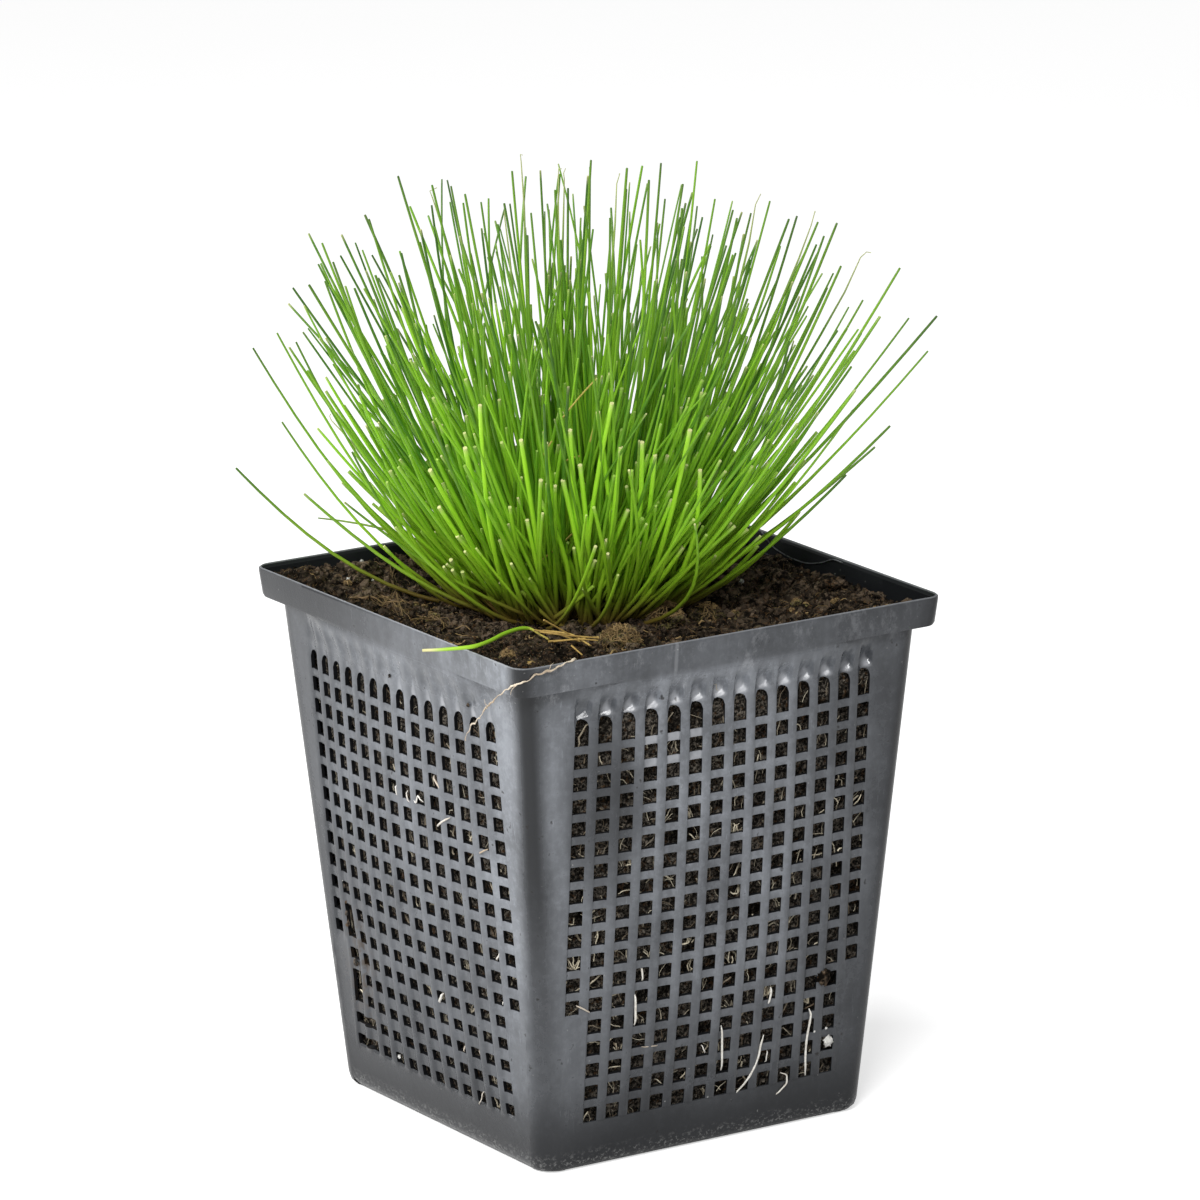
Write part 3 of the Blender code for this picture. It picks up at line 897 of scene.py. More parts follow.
def lowest_hole(settings, across):
    """Height of the lower edge of a column's last hole."""
    inner_edge = (settings.columns / 2 - 1) * settings.column_pitch
    rows = settings.rows if abs(across) < inner_edge else settings.outer_rows
    return ROW_TWO - (rows - 2) * settings.row_pitch - settings.hole / 2


def wall_relief(settings, across, z):
    """Proud rounded ribs and the bars that lie behind them."""
    if abs(across) > mesh_edge(settings) or z > ARCH_SPRING or z < lowest_hole(settings, across) - 0.05 * MM:
        return 0.0
    half = settings.hole / 2
    offset = abs(column_offset(settings, across))
    crest = (offset - half) / (settings.column_pitch / 2 - half)
    if crest > 0:
        return RIB_PROUD * math.sin(math.pi / 2 * crest)
    from_bar = (z - ROW_TWO) / settings.row_pitch - 0.5
    from_bar = abs(from_bar - round(from_bar)) * settings.row_pitch / (settings.row_pitch / 2 - half)
    rounded = (0.10 + 0.22 * smooth_step(70 * MM, ARCH_SPRING, z)) * MM * max(0.0, 1 - from_bar ** 2)
    return (rounded - settings.bar_recess) * min(1.0, (1 - offset / half) / 0.25)


def scoop(settings, across):
    """How deep a flute is at this place: 1 over the middle of a column, 0 on the ribs."""
    return max(0.0, 1 - (column_offset(settings, across) / FLUTE_HALF_WIDTH) ** 2)


def swelling(settings, across, z):
    """Share of the rim's step that the wall takes just under the rim, with a flute over each column."""
    reach = SWELLING * smooth_step(ARCH_SPRING, LEDGE, z) * (1 - smooth_step(*SWELLING_FADE, abs(across)))
    cut = scoop(settings, across) * SWELLING_CUT
    return reach * (1 - cut * (1 - smooth_step(FLUTE_TOP - 3.2 * MM, FLUTE_TOP, z)))


def flute(settings, wall, across, z):
    """Depth of the groove over each arch: a sill that faces up, a pocket, and its way out to the rim."""
    if z < ARCH_SPRING or abs(across) > mesh_edge(settings):
        return 0.0
    fade = 1 - smooth_step(POCKET, FLUTE_TOP, z)
    if wall == LEFT_WALL:
        sill = 0.15 + 0.85 * smooth_step(ARCH_SPRING + 1.5 * MM, POCKET, z)
        return LEFT_FLUTES * settings.flute_depth * scoop(settings, across) * sill * fade
    offset = column_offset(settings, across)
    to_rib = (abs(offset) - FLUTE_HALF_WIDTH) / (settings.column_pitch / 2 - FLUTE_HALF_WIDTH)
    uneven = 1 + 0.5 * noise.noise(Vector((7.3 * round(across / settings.column_pitch - 0.5), 0.5, 0.5)))
    facet = FACET_DEPTH + uneven * (FACET_SLOPES[1] * (z - ARCH_TOP) - FACET_SLOPES[0] * offset)
    depth = min(FLANKS[0] * (offset + FLUTE_HALF_WIDTH), FLANKS[1] * (FLUTE_HALF_WIDTH - offset), facet,
                settings.flute_depth)
    fade *= smooth_step(103.0 * MM, 104.8 * MM, z) * (1 - smooth_step(0.0, 1.0, to_rib))
    return max(0.0, depth) * fade


def small_hole(settings, wall, z):
    """The holes low on the left wall are less high: a height moved towards its row's middle."""
    if wall != LEFT_WALL or z > ARCH_SPRING:
        return z
    half = settings.hole / 2 + 0.01 * MM
    shrink = 0.25 * (1 - smooth_step(15 * MM, 90 * MM, z))
    from_row = z - ROW_TWO
    from_row -= round(from_row / settings.row_pitch) * settings.row_pitch
    if abs(from_row) <= half:
        z -= shrink * from_row
    return z


def damage_share(wall, across, z):
    """How much a place shares in the damaged patch, from 0 to 1."""
    if wall != LEFT_WALL:
        return 0.0
    off = ((across - DAMAGE.x) / DAMAGE_REACH[0], (z - DAMAGE.y) / DAMAGE_REACH[1])
    return math.exp(-off[0] ** 2 - off[1] ** 2)


def sheet_place(settings, wall, across, z, rim_share):
    """Outer surface point of a wall, before it is turned from +X; y runs across."""
    drop = LEFT_ARCH_DROP if wall == LEFT_WALL and z == ARCH_SPRING else 0.0
    half_width = body_half_width(settings, z - drop)
    limit = half_width - settings.corner_radius - 0.4 * MM
    last_rib = (settings.columns - 2) * settings.column_pitch / 2
    outermost = mesh_edge(settings) + 0.04 * MM
    offset = column_offset(settings, across)
    half = settings.hole / 2
    arch = 0.0
    if z == ARCH_SPRING and abs(offset) < half and abs(across) < outermost:
        arch = ARCH_RISE * math.sqrt(1 - (offset / half) ** 2)
    relief = wall_relief(settings, across, z) - flute(settings, wall, across, z + arch)
    share = max(rim_share, swelling(settings, across, z - drop))
    z = small_hole(settings, wall, z) - drop
    if abs(across) > last_rib and limit < outermost:
        beyond = (abs(across) - last_rib) * (limit - last_rib) / (outermost - last_rib)
        across = math.copysign(last_rib + beyond, across)
    hurt = damage_share(wall, across, z)
    across += DAMAGE_PUSH * hurt
    relief -= DAMAGE_DENT * hurt
    body = half_width + wall_bow(across, z)
    rim = rim_half_width(settings, z)
    return Vector((body + (rim - body) * share + relief * (1 - rim_share), across, z + arch))


def corner_place(settings, angle, z, rim_share):
    """Outer surface point on the rounded corner between the +X and the +Y wall."""
    half_width = body_half_width(settings, z)
    half_width += (rim_half_width(settings, z) - half_width) * rim_share
    radius = settings.corner_radius * (1 - 0.35 * rim_share)
    inset = half_width - radius
    return Vector((inset + radius * math.cos(angle), inset + radius * math.sin(angle), z))


def basket_sheet(settings):
    """The basket's outer surface as one sheet, open at the rim, with the values the holes need."""
    bm = bmesh.new()
    across_of = bm.verts.layers.float.new("across")
    height_of = bm.verts.layers.float.new("height")
    broken_of = bm.faces.layers.float.new("broken")
    smear_of = bm.verts.layers.float.new("smear")
    corner_angles = [math.radians(90) * step / CORNER_STEPS for step in range(CORNER_STEPS + 1)]
    lines = across_lines(settings)
    rows = []
    for z, nominal, share, inset in level_lines(settings):
        row = []
        for wall in WALL_TURNS:
            for across in lines:
                place = sheet_place(settings, wall, across, z, share)
                place.x -= inset
                row.append((turned(wall, place), across, damage_share(wall, across, z)))
            for angle in corner_angles:
                place = corner_place(settings, angle, z, share)
                place -= Vector((inset, inset, 0)) * 0.8
                row.append((turned(wall, place), 1.0, 0.0))
        verts = []
        for place, across, smear in row:
            vert = bm.verts.new(place)
            vert[across_of] = across
            vert[smear_of] = smear
            vert[height_of] = nominal
            verts.append(vert)
        rows.append(verts)
    faces = skin(bm, rows)
    first = WALL_TURNS.index(LEFT_WALL) * (len(lines) + len(corner_angles))
    for level, (lower, upper) in enumerate(zip(rows, rows[1:])):
        for i in range(first, first + len(lines) - 1):
            across = (lower[i][across_of] + lower[i + 1][across_of]) / 2 / MM
            z = (lower[i][height_of] + upper[i][height_of]) / 2 / MM
            if any(a < across < b and c < z < d for a, b, c, d in BROKEN):
                faces[level * len(lower) + i][broken_of] = 1.0
    add_base(bm, rows[0])
    return object_from_bmesh("basket_mesh", bm)


def add_base(bm, ring):
    """Fill the base inside the lowest ring, around its drain slots."""
    edges = [bm.edges.get((a, b)) for a, b in zip(ring, ring[1:] + ring[:1])]
    for x, y in DRAIN_PLACES:
        half_x, half_y = DRAIN_SIZE[0] / 2, DRAIN_SIZE[1] / 2
        corners = [(x - half_x, y - half_y), (x + half_x, y - half_y),
                   (x + half_x, y + half_y), (x - half_x, y + half_y)]
        slot = [bm.verts.new((a, b, 0.0)) for a, b in corners]
        edges += [bm.edges.new((a, b)) for a, b in zip(slot, slot[1:] + slot[:1])]
    filled = bmesh.ops.triangle_fill(bm, edges=edges, use_beauty=True, use_dissolve=False,
                                     normal=(0, 0, -1))
    for item in filled["geom"]:
        if isinstance(item, bmesh.types.BMFace):
            if item.normal.z > 0:
                item.normal_flip()
            for vert in item.verts:
                vert[bm.verts.layers.float["across"]] = 1.0


# Moulded beads on the inner face of the rim
BEADS = [
    [(53.3, 14.0, 119.0), (53.3, 9.9, 116.7), (53.3, 5.5, 115.7), (53.3, 0.6, 115.3), (53.3, -4.4, 115.5),
     (53.3, -9.9, 116.8), (53.4, -14.2, 118.4), (53.4, -18.0, 118.5)],
    [(53.0, 15.5, 114.3), (53.0, 10.7, 114.3), (52.8, 7.0, 114.1), (52.5, 3.9, 113.7)]]


class PLANT_OT_basket(bpy.types.Operator):
    """Make the moulded mesh basket"""
    bl_idname = "plant.basket"
    bl_label = "Mesh basket"

    def execute(self, context):
        settings = context.scene.plant_basket
        sheet = basket_sheet(settings)
        plastic = plastic_material(settings)
        basket = run_tree(sheet, perforation_tree(), {
            "Columns": float(settings.columns), "Rows": float(settings.rows),
            "Outer Rows": float(settings.outer_rows), "Column Pitch": settings.column_pitch,
            "Row Pitch": settings.row_pitch, "Hole": settings.hole,
            "Mesh Top": ROW_TWO + 1.5 * settings.row_pitch, "Wall": settings.wall,
            "Material": plastic})
        basket.data.shade_smooth()
        basket.data.set_sharp_from_angle(angle=math.radians(38))
        finish_piece(basket, "basket_plastic", "basket")
        plan = StrandPlan()
        for points in BEADS:
            plan.add(curve_points(in_metres(points), 6), 0.17 * MM)
        finish_piece(plan.make("rim_beads", 8, plastic), "basket_plastic")
        return {"FINISHED"}


# The soil

# The damp patch of soil in the front corner
DAMP_PLACE = Vector((-36.0, -40.0)) * MM
DAMP_REACH = 13.0 * MM
# The root ball's sides: their levels, the steps across a wall and round a corner, and the height they end at
SIDE_LEVELS = 70
SIDE_STEPS = 68
SIDE_CORNER_STEPS = 4
SIDE_TOP = 110.5 * MM
# Rings of its top
TOP_RINGS = 58
# Smallest crumb, and the largest on the surface and at the sides
SMALLEST_CRUMB = 0.25 * MM
LARGEST_CRUMB, LARGEST_SIDE_CRUMB = 1.6 * MM, 1.0 * MM


def soil_lumps(x, y):
    """Height of the crumbly surface over its mean, as a share: broad lumps, clods and crumbs."""
    place = Vector((x, y, 0.0))
    lumps = noise.noise(place * 95) * 0.55
    lumps += noise.noise(place * 260 + Vector((3, 1, 0))) * 0.40
    lumps += noise.noise(place * 620 + Vector((5, 2, 0))) * 0.26
    return lumps + noise.noise(place * 1300 + Vector((2, 7, 0))) * 0.18


def soil_top_height(settings, x, y):
    heaped = 2.4 * MM * smooth_step(26 * MM, 48 * MM, x) + 1.2 * MM * smooth_step(30 * MM, 48 * MM, y)
    return soil_level(x, y) + heaped + settings.lump_height * soil_lumps(x, y)


def wall_place(basket, wall, across, z, inset):
    """A place this far inside the outer face of a wall, given by its turn."""
    local = Vector((body_half_width(basket, z) + wall_bow(across, z) - inset, across, z))
    return turned(wall, local)


def soil_outline(settings, basket, z):
    """Points round the soil at one height, inside the basket's wall."""
    inset = basket.wall + settings.clearance
    corner = basket.corner_radius - basket.wall
    reach = body_half_width(basket, z) - inset - corner
    points = []
    for wall in WALL_TURNS:
        for step in range(SIDE_STEPS):
            points.append(wall_place(basket, wall, -reach + 2 * reach * step / SIDE_STEPS, z, inset))
        for step in range(SIDE_CORNER_STEPS):
            angle = math.radians(90) * step / SIDE_CORNER_STEPS
            points.append(turned(wall, Vector((reach + corner * math.cos(angle),
                                               reach + corner * math.sin(angle), z))))
    return points


def soil_block(settings, basket):
    """The root ball: rough sides behind the mesh and a crumbly top."""
    bm = bmesh.new()
    loose_of = bm.faces.layers.float.new("loose")
    shade_and_damp_of = bm.verts.layers.float.new("painted_shade_and_damp")
    floor = basket.wall + 0.4 * MM
    rows = []
    for level in range(SIDE_LEVELS + 1):
        z = floor + (SIDE_TOP - floor) * level / SIDE_LEVELS
        row = []
        for point in soil_outline(settings, basket, z):
            inwards = Vector((-point.x, -point.y, 0)).normalized()
            rough = 0.45 + 0.8 * noise.noise(point * 230) + 0.5 * noise.noise(point * 640)
            row.append(bm.verts.new(point + inwards * max(0.0, rough) * 1.4 * MM))
        rows.append(row)
    shelf = LEDGE + basket.wall + 0.2 * MM
    rim_room = basket.rim_width / 2 - RIM_DRAFT - basket.wall - 0.5 * MM
    brim = []
    for vert in rows[-1]:
        share = rim_room / max(abs(vert.co.x), abs(vert.co.y))
        brim.append(Vector((vert.co.x * share, vert.co.y * share, shelf)))
    rows.append([bm.verts.new((vert.co.x, vert.co.y, shelf)) for vert in rows[-1]])
    rows.append([bm.verts.new(point) for point in brim])
    edge_heights = [max(shelf + 0.4 * MM, soil_top_height(settings, p.x, p.y) - 0.8 * MM) for p in brim]
    rows.append([bm.verts.new((p.x, p.y, height)) for p, height in zip(brim, edge_heights)])
    for ring in range(1, TOP_RINGS):
        share = 1 - ring / TOP_RINGS
        row = []
        for point in brim:
            x, y = point.x * share, point.y * share
            row.append(bm.verts.new((x, y, soil_top_height(settings, x, y))))
            damp_and_wall_shadow = math.exp(-(Vector((x, y)) - DAMP_PLACE).length_squared / DAMP_REACH ** 2)
            # A painted shadow on the strip of soil along the left wall
            damp_and_wall_shadow = max(damp_and_wall_shadow, 0.8 * smooth_step(40 * MM, 49 * MM, -x))
            # Painted shade in the low spots between the lumps, besides the damp patch and the shadow strip
            row[-1][shade_and_damp_of] = max(damp_and_wall_shadow, 1 - smooth_step(-0.35, 0.20, soil_lumps(x, y)))
        rows.append(row)
    for index, face in enumerate(skin(bm, rows)):
        face[loose_of] = 1.0 if index // len(brim) > SIDE_LEVELS + 2 else 0.0
    bm.faces.new(reversed(rows[0]))
    middle = bm.verts.new((0, 0, soil_top_height(settings, 0, 0)))
    for i, vert in enumerate(rows[-1]):
        bm.faces.new((vert, rows[-1][(i + 1) % len(rows[-1])], middle))
    return object_from_bmesh("soil_block", bm)


# Clods on the soil: place x and y, radius, share of moss, in millimetres
CLODS = [(-17.2, -36.4, 4.3, 0.50), (0.5, -27.5, 4.0, 0.40), (12.5, -25.0, 3.4, 0.3),
         (31.4, -30.4, 0.8, 1.0), (33.4, -29.2, 0.9, 1.0), (35.0, -30.6, 0.6, 1.0), (41.0, -32.8, 0.7, 1.0),
         (42.4, -31.8, 0.6, 0.9), (17.0, -29.5, 1.2, 0.5), (-45.4, -35.4, 1.6, 1.0), (-41.3, 37.2, 0.9, 1.0),
         (-35.8, 17.6, 0.7, 1.0), (-37.2, 11.8, 0.8, 1.0), (-37.9, 8.0, 0.7, 1.0), (-38.2, 5.0, 0.8, 0.8),
         (47.0, -24.0, 3.2, 0.0), (27.0, -21.0, 2.6, 0.0), (-43.0, 26.0, 2.6, 0.1), (-36.0, 39.0, 3.0, 0.1),
         (40.0, -12.0, 3.4, 0.0), (35.0, 2.0, 3.0, 0.0), (-24.0, -34.5, 2.0, 0.1)]


def add_clod(bm, moss_of, settings, x, y, radius, moss):
    """One broken lump, partly sunk into the surface."""
    place = Vector((x, y, soil_top_height(settings, x, y) + 0.15 * radius))
    made = bmesh.ops.create_icosphere(bm, subdivisions=4, radius=radius)
    for vert in made["verts"]:
        here = place + vert.co
        lump = 1 + 0.65 * noise.noise(here * 300) + 0.45 * noise.noise(here * 800)
        lump += 0.22 * noise.noise(here * 2100)
        vert.co = place + Vector((vert.co.x, vert.co.y, vert.co.z * 0.7)) * lump
        vert[moss_of] = moss


# Clods and loose fibres without a place of their own, and how near the crown they may lie, in millimetres
MORE_CLODS, CLOD_GAP = 16, 24
MORE_FIBRES, FIBRE_GAP = 1000, 20
# Finer roots beside each long root on the soil
FRAYED_ROOTS = 5
# Grains: place x, y, z, radius in millimetres and paleness; without a height they lie on the soil
GRAINS = [(-39.6, 39.8, None, 0.45, 0.8), (-34.4, 37.5, None, 0.5, 1.0), (-30.0, 50.0, None, 0.8, 0.6),
          (34.2, -6.6, None, 0.6, 1.0), (-18.4, -39.8, None, 0.5, 1.0), (-25.2, -45.2, None, 0.4, 1.0),
          (31.2, -44.2, 18.3, 1.3, 1.0), (30.3, -44.8, 21.6, 0.35, 1.0), (27.2, -44.8, 21.4, 0.3, 1.0),
          (-44.6, 13.3, 13.4, 0.5, 1.0), (28.7, -46.2, 34.2, 1.9, 0.0), (-46.7, 33.4, 51.6, 0.8, 0.05),
          (-46.9, 32.7, 49.9, 0.35, 0.9), (-46.5, 32.9, 48.4, 0.9, 0.04), (-46.2, 32.6, 45.0, 0.8, 0.01),
          (-53.4, 0.3, 105.2, 0.45, 0.02), (-52.2, -30.0, 105.2, 0.5, 0.02), (-53.3, 11.8, 110.6, 0.3, 0.02),
          (-53.6, -3.4, 110.9, 0.35, 0.02), (-46.1, 32.5, 42.2, 0.7, 0.06), (-45.8, 32.6, 39.8, 0.9, 0.02),
          (-45.1, 30.4, 31.0, 0.9, 0.04)]


def off_crown(x, y):
    """Distance from the middle of the crown, for a place in millimetres."""
    return math.hypot(x - CROWN[0] / MM, y - CROWN[1] / MM)


def add_grains(bm, grain_of, settings):
    for x, y, z, radius, paleness in GRAINS:
        x, y = x * MM, y * MM
        on_wall = z is not None
        z = z * MM if on_wall else soil_top_height(settings, x, y) + 0.5 * radius * MM
        made = bmesh.ops.create_icosphere(bm, subdivisions=3, radius=radius * MM)
        for vert in made["verts"]:
            ragged = vert.co * (0.85 + 0.7 * noise.noise(vert.co / radius * 2000 + Vector((x, y, z)) * 99))
            if on_wall:
                ragged[0 if abs(x) > abs(y) else 1] *= 0.5
            vert.co = Vector((x, y, z)) + ragged
            vert[grain_of] = paleness


def make_clods(settings, chance):
    bm = bmesh.new()
    moss_of = bm.verts.layers.float.new("moss")
    grain_of = bm.verts.layers.float.new("grain")
    loose_of = bm.faces.layers.float.new("loose")
    add_grains(bm, grain_of, settings)
    for x, y, radius, moss in CLODS:
        add_clod(bm, moss_of, settings, x * MM, y * MM, radius * MM, moss)
    for _ in range(MORE_CLODS):
        x, y = chance.uniform(-46, 46), chance.uniform(-46, 46)
        if off_crown(x, y) > CLOD_GAP:
            add_clod(bm, moss_of, settings, x * MM, y * MM, chance.uniform(0.9, 2.2) * MM,
                     0.5 * chance.random() ** 3)
    for face in bm.faces:
        face[loose_of] = 1.0
    return object_from_bmesh("soil_clods", bm)


# Fine roots and straws that lie on the soil: routes in x and y, in millimetres
SOIL_ROOTS = [
    [(-18.4, 50.0), (-24.5, 44.3), (-30.9, 35.6), (-36.1, 25.4), (-42.9, 12.3), (-47.0, 4.0)],
    [(-44.7, 23.7), (-42.5, 25.5), (-40.0, 21.2)], [(-47.0, 27.0), (-43.7, 21.1), (-41.0, 16.0)],
    [(-36.0, 24.0), (-40.5, 21.0), (-45.5, 17.0)], [(-40.0, 29.0), (-40.5, 22.0), (-43.0, 13.0)],
    [(-41.0, 8.7), (-40.2, 4.0), (-41.8, -3.7), (-45.0, -7.5)], [(-38.0, 6.0), (-41.5, 2.0), (-47.0, 1.0)]]
SOIL_STRAWS = [
    [(12.7, -10.5), (18.0, -4.0), (23.1, 1.3)], [(33.0, 0.2), (36.5, 6.0), (39.9, 10.9)],
    [(6.7, -30.8), (10.0, -30.5)], [(-3.7, -36.6), (-1.0, -37.6), (1.0, -38.2)],
    [(-50.0, -47.0), (-47.5, -47.6), (-44.8, -46.8)], [(-26.5, -46.0), (-22.5, -43.0)],
    [(-38.0, -49.0), (-34.0, -47.0), (-31.0, -46.5)], [(28.0, -33.5), (33.0, -34.5)]]


def laid_on_soil(settings, points, lift):
    """A smooth route over the crumbs, from places in millimetres."""
    route = curve_points([Vector((x, y, 0)) * MM for x, y in points], 4)
    for point in route:
        point.z = soil_top_height(settings, point.x, point.y) + lift
    return route


def add_tangle(plan, chance, settings, x, y, radius, count):
    """Curled fibres over a mossy clod."""
    centre = Vector((x, y, soil_top_height(settings, x, y) + 0.15 * radius))
    for _ in range(count):
        aim = Vector([chance.gauss(0, 1) for _ in range(3)])
        aim.z = abs(aim.z)
        heading = aim.cross(Vector([chance.gauss(0, 1) for _ in range(3)]))
        route = wander(chance, centre + aim.normalized() * radius, heading, radius * 0.9, 4, 0.6)
        route = [centre + (p - centre).normalized() * radius * chance.uniform(0.85, 1.2) for p in route]
        plan.add(route, 0.07 * MM, tone=chance.random())


def make_soil_fibres(settings, chance, material):
    plan = StrandPlan()
    for points in SOIL_ROOTS:
        plan.add(laid_on_soil(settings, points, 0.8 * MM), 0.10 * MM, tone=0.4)
        for _ in range(FRAYED_ROOTS):
            frayed = [(x + chance.gauss(0, 0.9), y + chance.gauss(0, 0.9)) for x, y in points]
            plan.add(laid_on_soil(settings, frayed, chance.uniform(0.2, 0.9) * MM), 0.05 * MM,
                     tone=chance.uniform(0.0, 0.45))
    for points in SOIL_STRAWS:
        plan.add(laid_on_soil(settings, points, 0.4 * MM), 0.19 * MM, tone=0.8)
    for x, y, radius, moss in CLODS:
        if moss > 0.2:
            add_tangle(plan, chance, settings, x * MM, y * MM, radius * MM, round(80 * radius * moss))
    for _ in range(MORE_FIBRES):
        x, y = chance.uniform(-51, 51), chance.uniform(-51, 51)
        heading = chance.uniform(0, math.tau)
        length = chance.uniform(1.2, 5.5)
        bend = chance.gauss(0, 0.25) * length
        across, along = math.cos(heading) * length, math.sin(heading) * length
        points = [(x, y), (x + across / 2 - bend * math.sin(heading), y + along / 2),
                  (x + across, y + along)]
        if off_crown(x, y) > FIBRE_GAP and max(abs(v) for point in points for v in point) < 52.0:
            plan.add(laid_on_soil(settings, points, 0.12 * MM), 0.04 * MM + 0.09 * MM * chance.random() ** 3,
                     tone=chance.random() ** 2.5)
    return plan.make("soil_fibres", 5, material)


def add_wall_rootlet(plan, chance, basket, wall, across, z, heading, length, thick, pale=0.0):
    """One fine root that creeps behind a wall, held between the rounded corners."""
    limit = body_half_width(basket, z) - 8 * MM
    inset = basket.wall + chance.uniform(0.0, 0.7) * MM
    route = []
    for step in range(6):
        across = max(-limit, min(limit, across))
        z = min(107 * MM, max(3.5 * MM, z))
        route.append(wall_place(basket, wall, across, z, inset))
        across += math.cos(heading) * length / 5
        z += math.sin(heading) * length / 5
        heading += chance.gauss(0, 0.35)
        inset += chance.gauss(0, 0.10) * MM
    plan.add(route, (0.055 + 0.14 * thick) * MM, tone=chance.uniform(pale, 1.0))


def make_wall_rootlets(settings, basket, chance, material):
    """Fine roots and straws that show in the holes, single and in bunches."""
    plan = StrandPlan()
    for wall in WALL_TURNS:
        for _ in range(settings.fibres):
            z, across = chance.uniform(5, 106) * MM, chance.uniform(-39, 39) * MM
            heading = math.radians(chance.choice((chance.gauss(90, 30), chance.uniform(0, 180))))
            add_wall_rootlet(plan, chance, basket, wall, across, z, heading,
                             chance.uniform(1.5, 7.5) * MM, chance.random() ** 3)
        for _ in range(settings.bunches):
            z, across = chance.triangular(8, 100, 20) * MM, chance.uniform(-36, 36) * MM
            for _ in range(chance.randint(3, 8)):
                add_wall_rootlet(plan, chance, basket, wall, across + chance.gauss(0, 0.4) * MM,
                                 z - 1 * MM, math.radians(chance.gauss(90, 38)),
                                 chance.uniform(1.5, 4.0) * MM, chance.random() ** 2, 0.5)
    return plan.make("wall_rootlets", 5, material)


# Roots that were drawn one by one: wall, radius, how far outside the wall, paleness, and places
# (across, height), all in millimetres
WALL_ROOTS = [
    (FRONT_WALL, 0.25, 0.3, 1.0, [(1.7, 27.7), (2.1, 22.4), (2.6, 16.9)]),
    (FRONT_WALL, 0.24, 0.3, 1.0, [(13.5, 23.2), (12.6, 21.5), (12.2, 18.7), (11.4, 16.4), (10.3, 14.3),
                                  (9.2, 12.9), (6.7, 10.0)]),
    (FRONT_WALL, 0.19, 0.3, 0.9, [(18.8, 13.1), (20.1, 12.5), (20.4, 11.4), (20.3, 10.3), (19.1, 9.2),
                                  (17.7, 7.8)]),
    (FRONT_WALL, 0.26, 0.3, 1.0, [(25.5, 27.1), (25.8, 25.5), (25.5, 23.3), (25.1, 20.2), (25.0, 17.1),
                                  (25.2, 13.9), (25.7, 11.2)]),
    (FRONT_WALL, 0.25, -0.1, 1.0, [(14.6, 34.2), (14.5, 32.6), (14.1, 30.2)]),
    (FRONT_WALL, 0.27, 0.3, 1.0, [(-21.3, 39.2), (-21.1, 35.5), (-20.9, 31.9)]),
    (FRONT_WALL, 0.10, 0.2, 0.5, [(-18.6, 26.3), (-16.6, 26.2), (-14.5, 26.0)]),
    (FRONT_WALL, 0.18, 0.5, 0.6, [(-35.6, 38.8), (-34.1, 37.9), (-32.3, 36.7)]),
    (FRONT_WALL, 0.22, -0.6, 0.9, [(-19.6, 45.1), (-19.3, 43.4), (-19.1, 41.7)]),
    (FRONT_WALL, 0.15, -0.1, 1.0, [(14.9, 19.1), (14.6, 17.8), (14.6, 16.4)]),
    (FRONT_WALL, 0.15, -0.4, 1.0, [(-2.8, 23.8), (-2.3, 22.7), (-1.7, 21.6)]),
    (LEFT_WALL, 0.30, 0.2, 1.0, [(9.2, 34.2), (8.6, 33.1), (7.3, 31.6)]),
    (LEFT_WALL, 0.23, 0.0, 0.9, [(33.2, 49.8), (32.6, 48.7), (31.3, 47.4)]),
    (LEFT_WALL, 0.16, -0.4, 1.0, [(32.5, 39.7), (32.5, 38.6), (31.3, 36.9)]),
    (LEFT_WALL, 0.15, -0.5, 0.9, [(4.4, 23.4), (4.9, 22.2)]),
    (LEFT_WALL, 0.12, 0.3, 0.7, [(20.7, 14.2), (20.0, 12.3), (18.0, 10.3)]),
    (LEFT_WALL, 0.20, -0.6, 0.5, [(15.1, 23.6), (14.3, 22.6), (13.7, 21.5)]),
    (LEFT_WALL, 0.20, -0.6, 0.4, [(20.3, 23.9), (20.8, 22.4)]),
    (LEFT_WALL, 0.18, 0.0, 1.0, [(-1.6, 80.0), (-1.2, 77.3)]),
    (LEFT_WALL, 0.17, 0.0, 1.0, [(2.8, 79.6), (3.4, 77.0)]),
    (LEFT_WALL, 0.18, 0.1, 1.0, [(5.3, 79.5), (6.7, 77.8), (7.7, 79.6), (9.1, 78.4)]),
    (LEFT_WALL, 0.21, 0.2, 0.5, [(14.2, 85.7), (17.3, 83.0)]),
    (LEFT_WALL, 0.25, 0.3, 0.8, [(14.3, 74.1), (16.8, 75.8), (19.2, 77.2)]),
    (LEFT_WALL, 0.18, 0.2, 0.3, [(29.0, 71.3), (31.9, 72.9)])]


def make_wall_roots(basket, material):
    plan = StrandPlan()
    for wall, radius, outset, pale, places in WALL_ROOTS:
        flat = curve_points([Vector((across, z, 0)) * MM for across, z in places], 5)
        count = len(flat)
        route = []
        radii = []
        for i, point in enumerate(flat):
            from_middle = abs(2 * i / (count - 1) - 1)
            dive = 0.5 * MM * smooth_step(0.7, 1.0, from_middle)
            route.append(wall_place(basket, wall, point.x, point.y, dive - outset * MM))
            lumpy = 1 + 0.25 * noise.noise(point * 900)
            radii.append(radius * MM * lumpy * (1 - 0.55 * from_middle ** 4))
        plan.add(route, radii, tone=pale)
    return plan.make("wall_roots", 7, material)


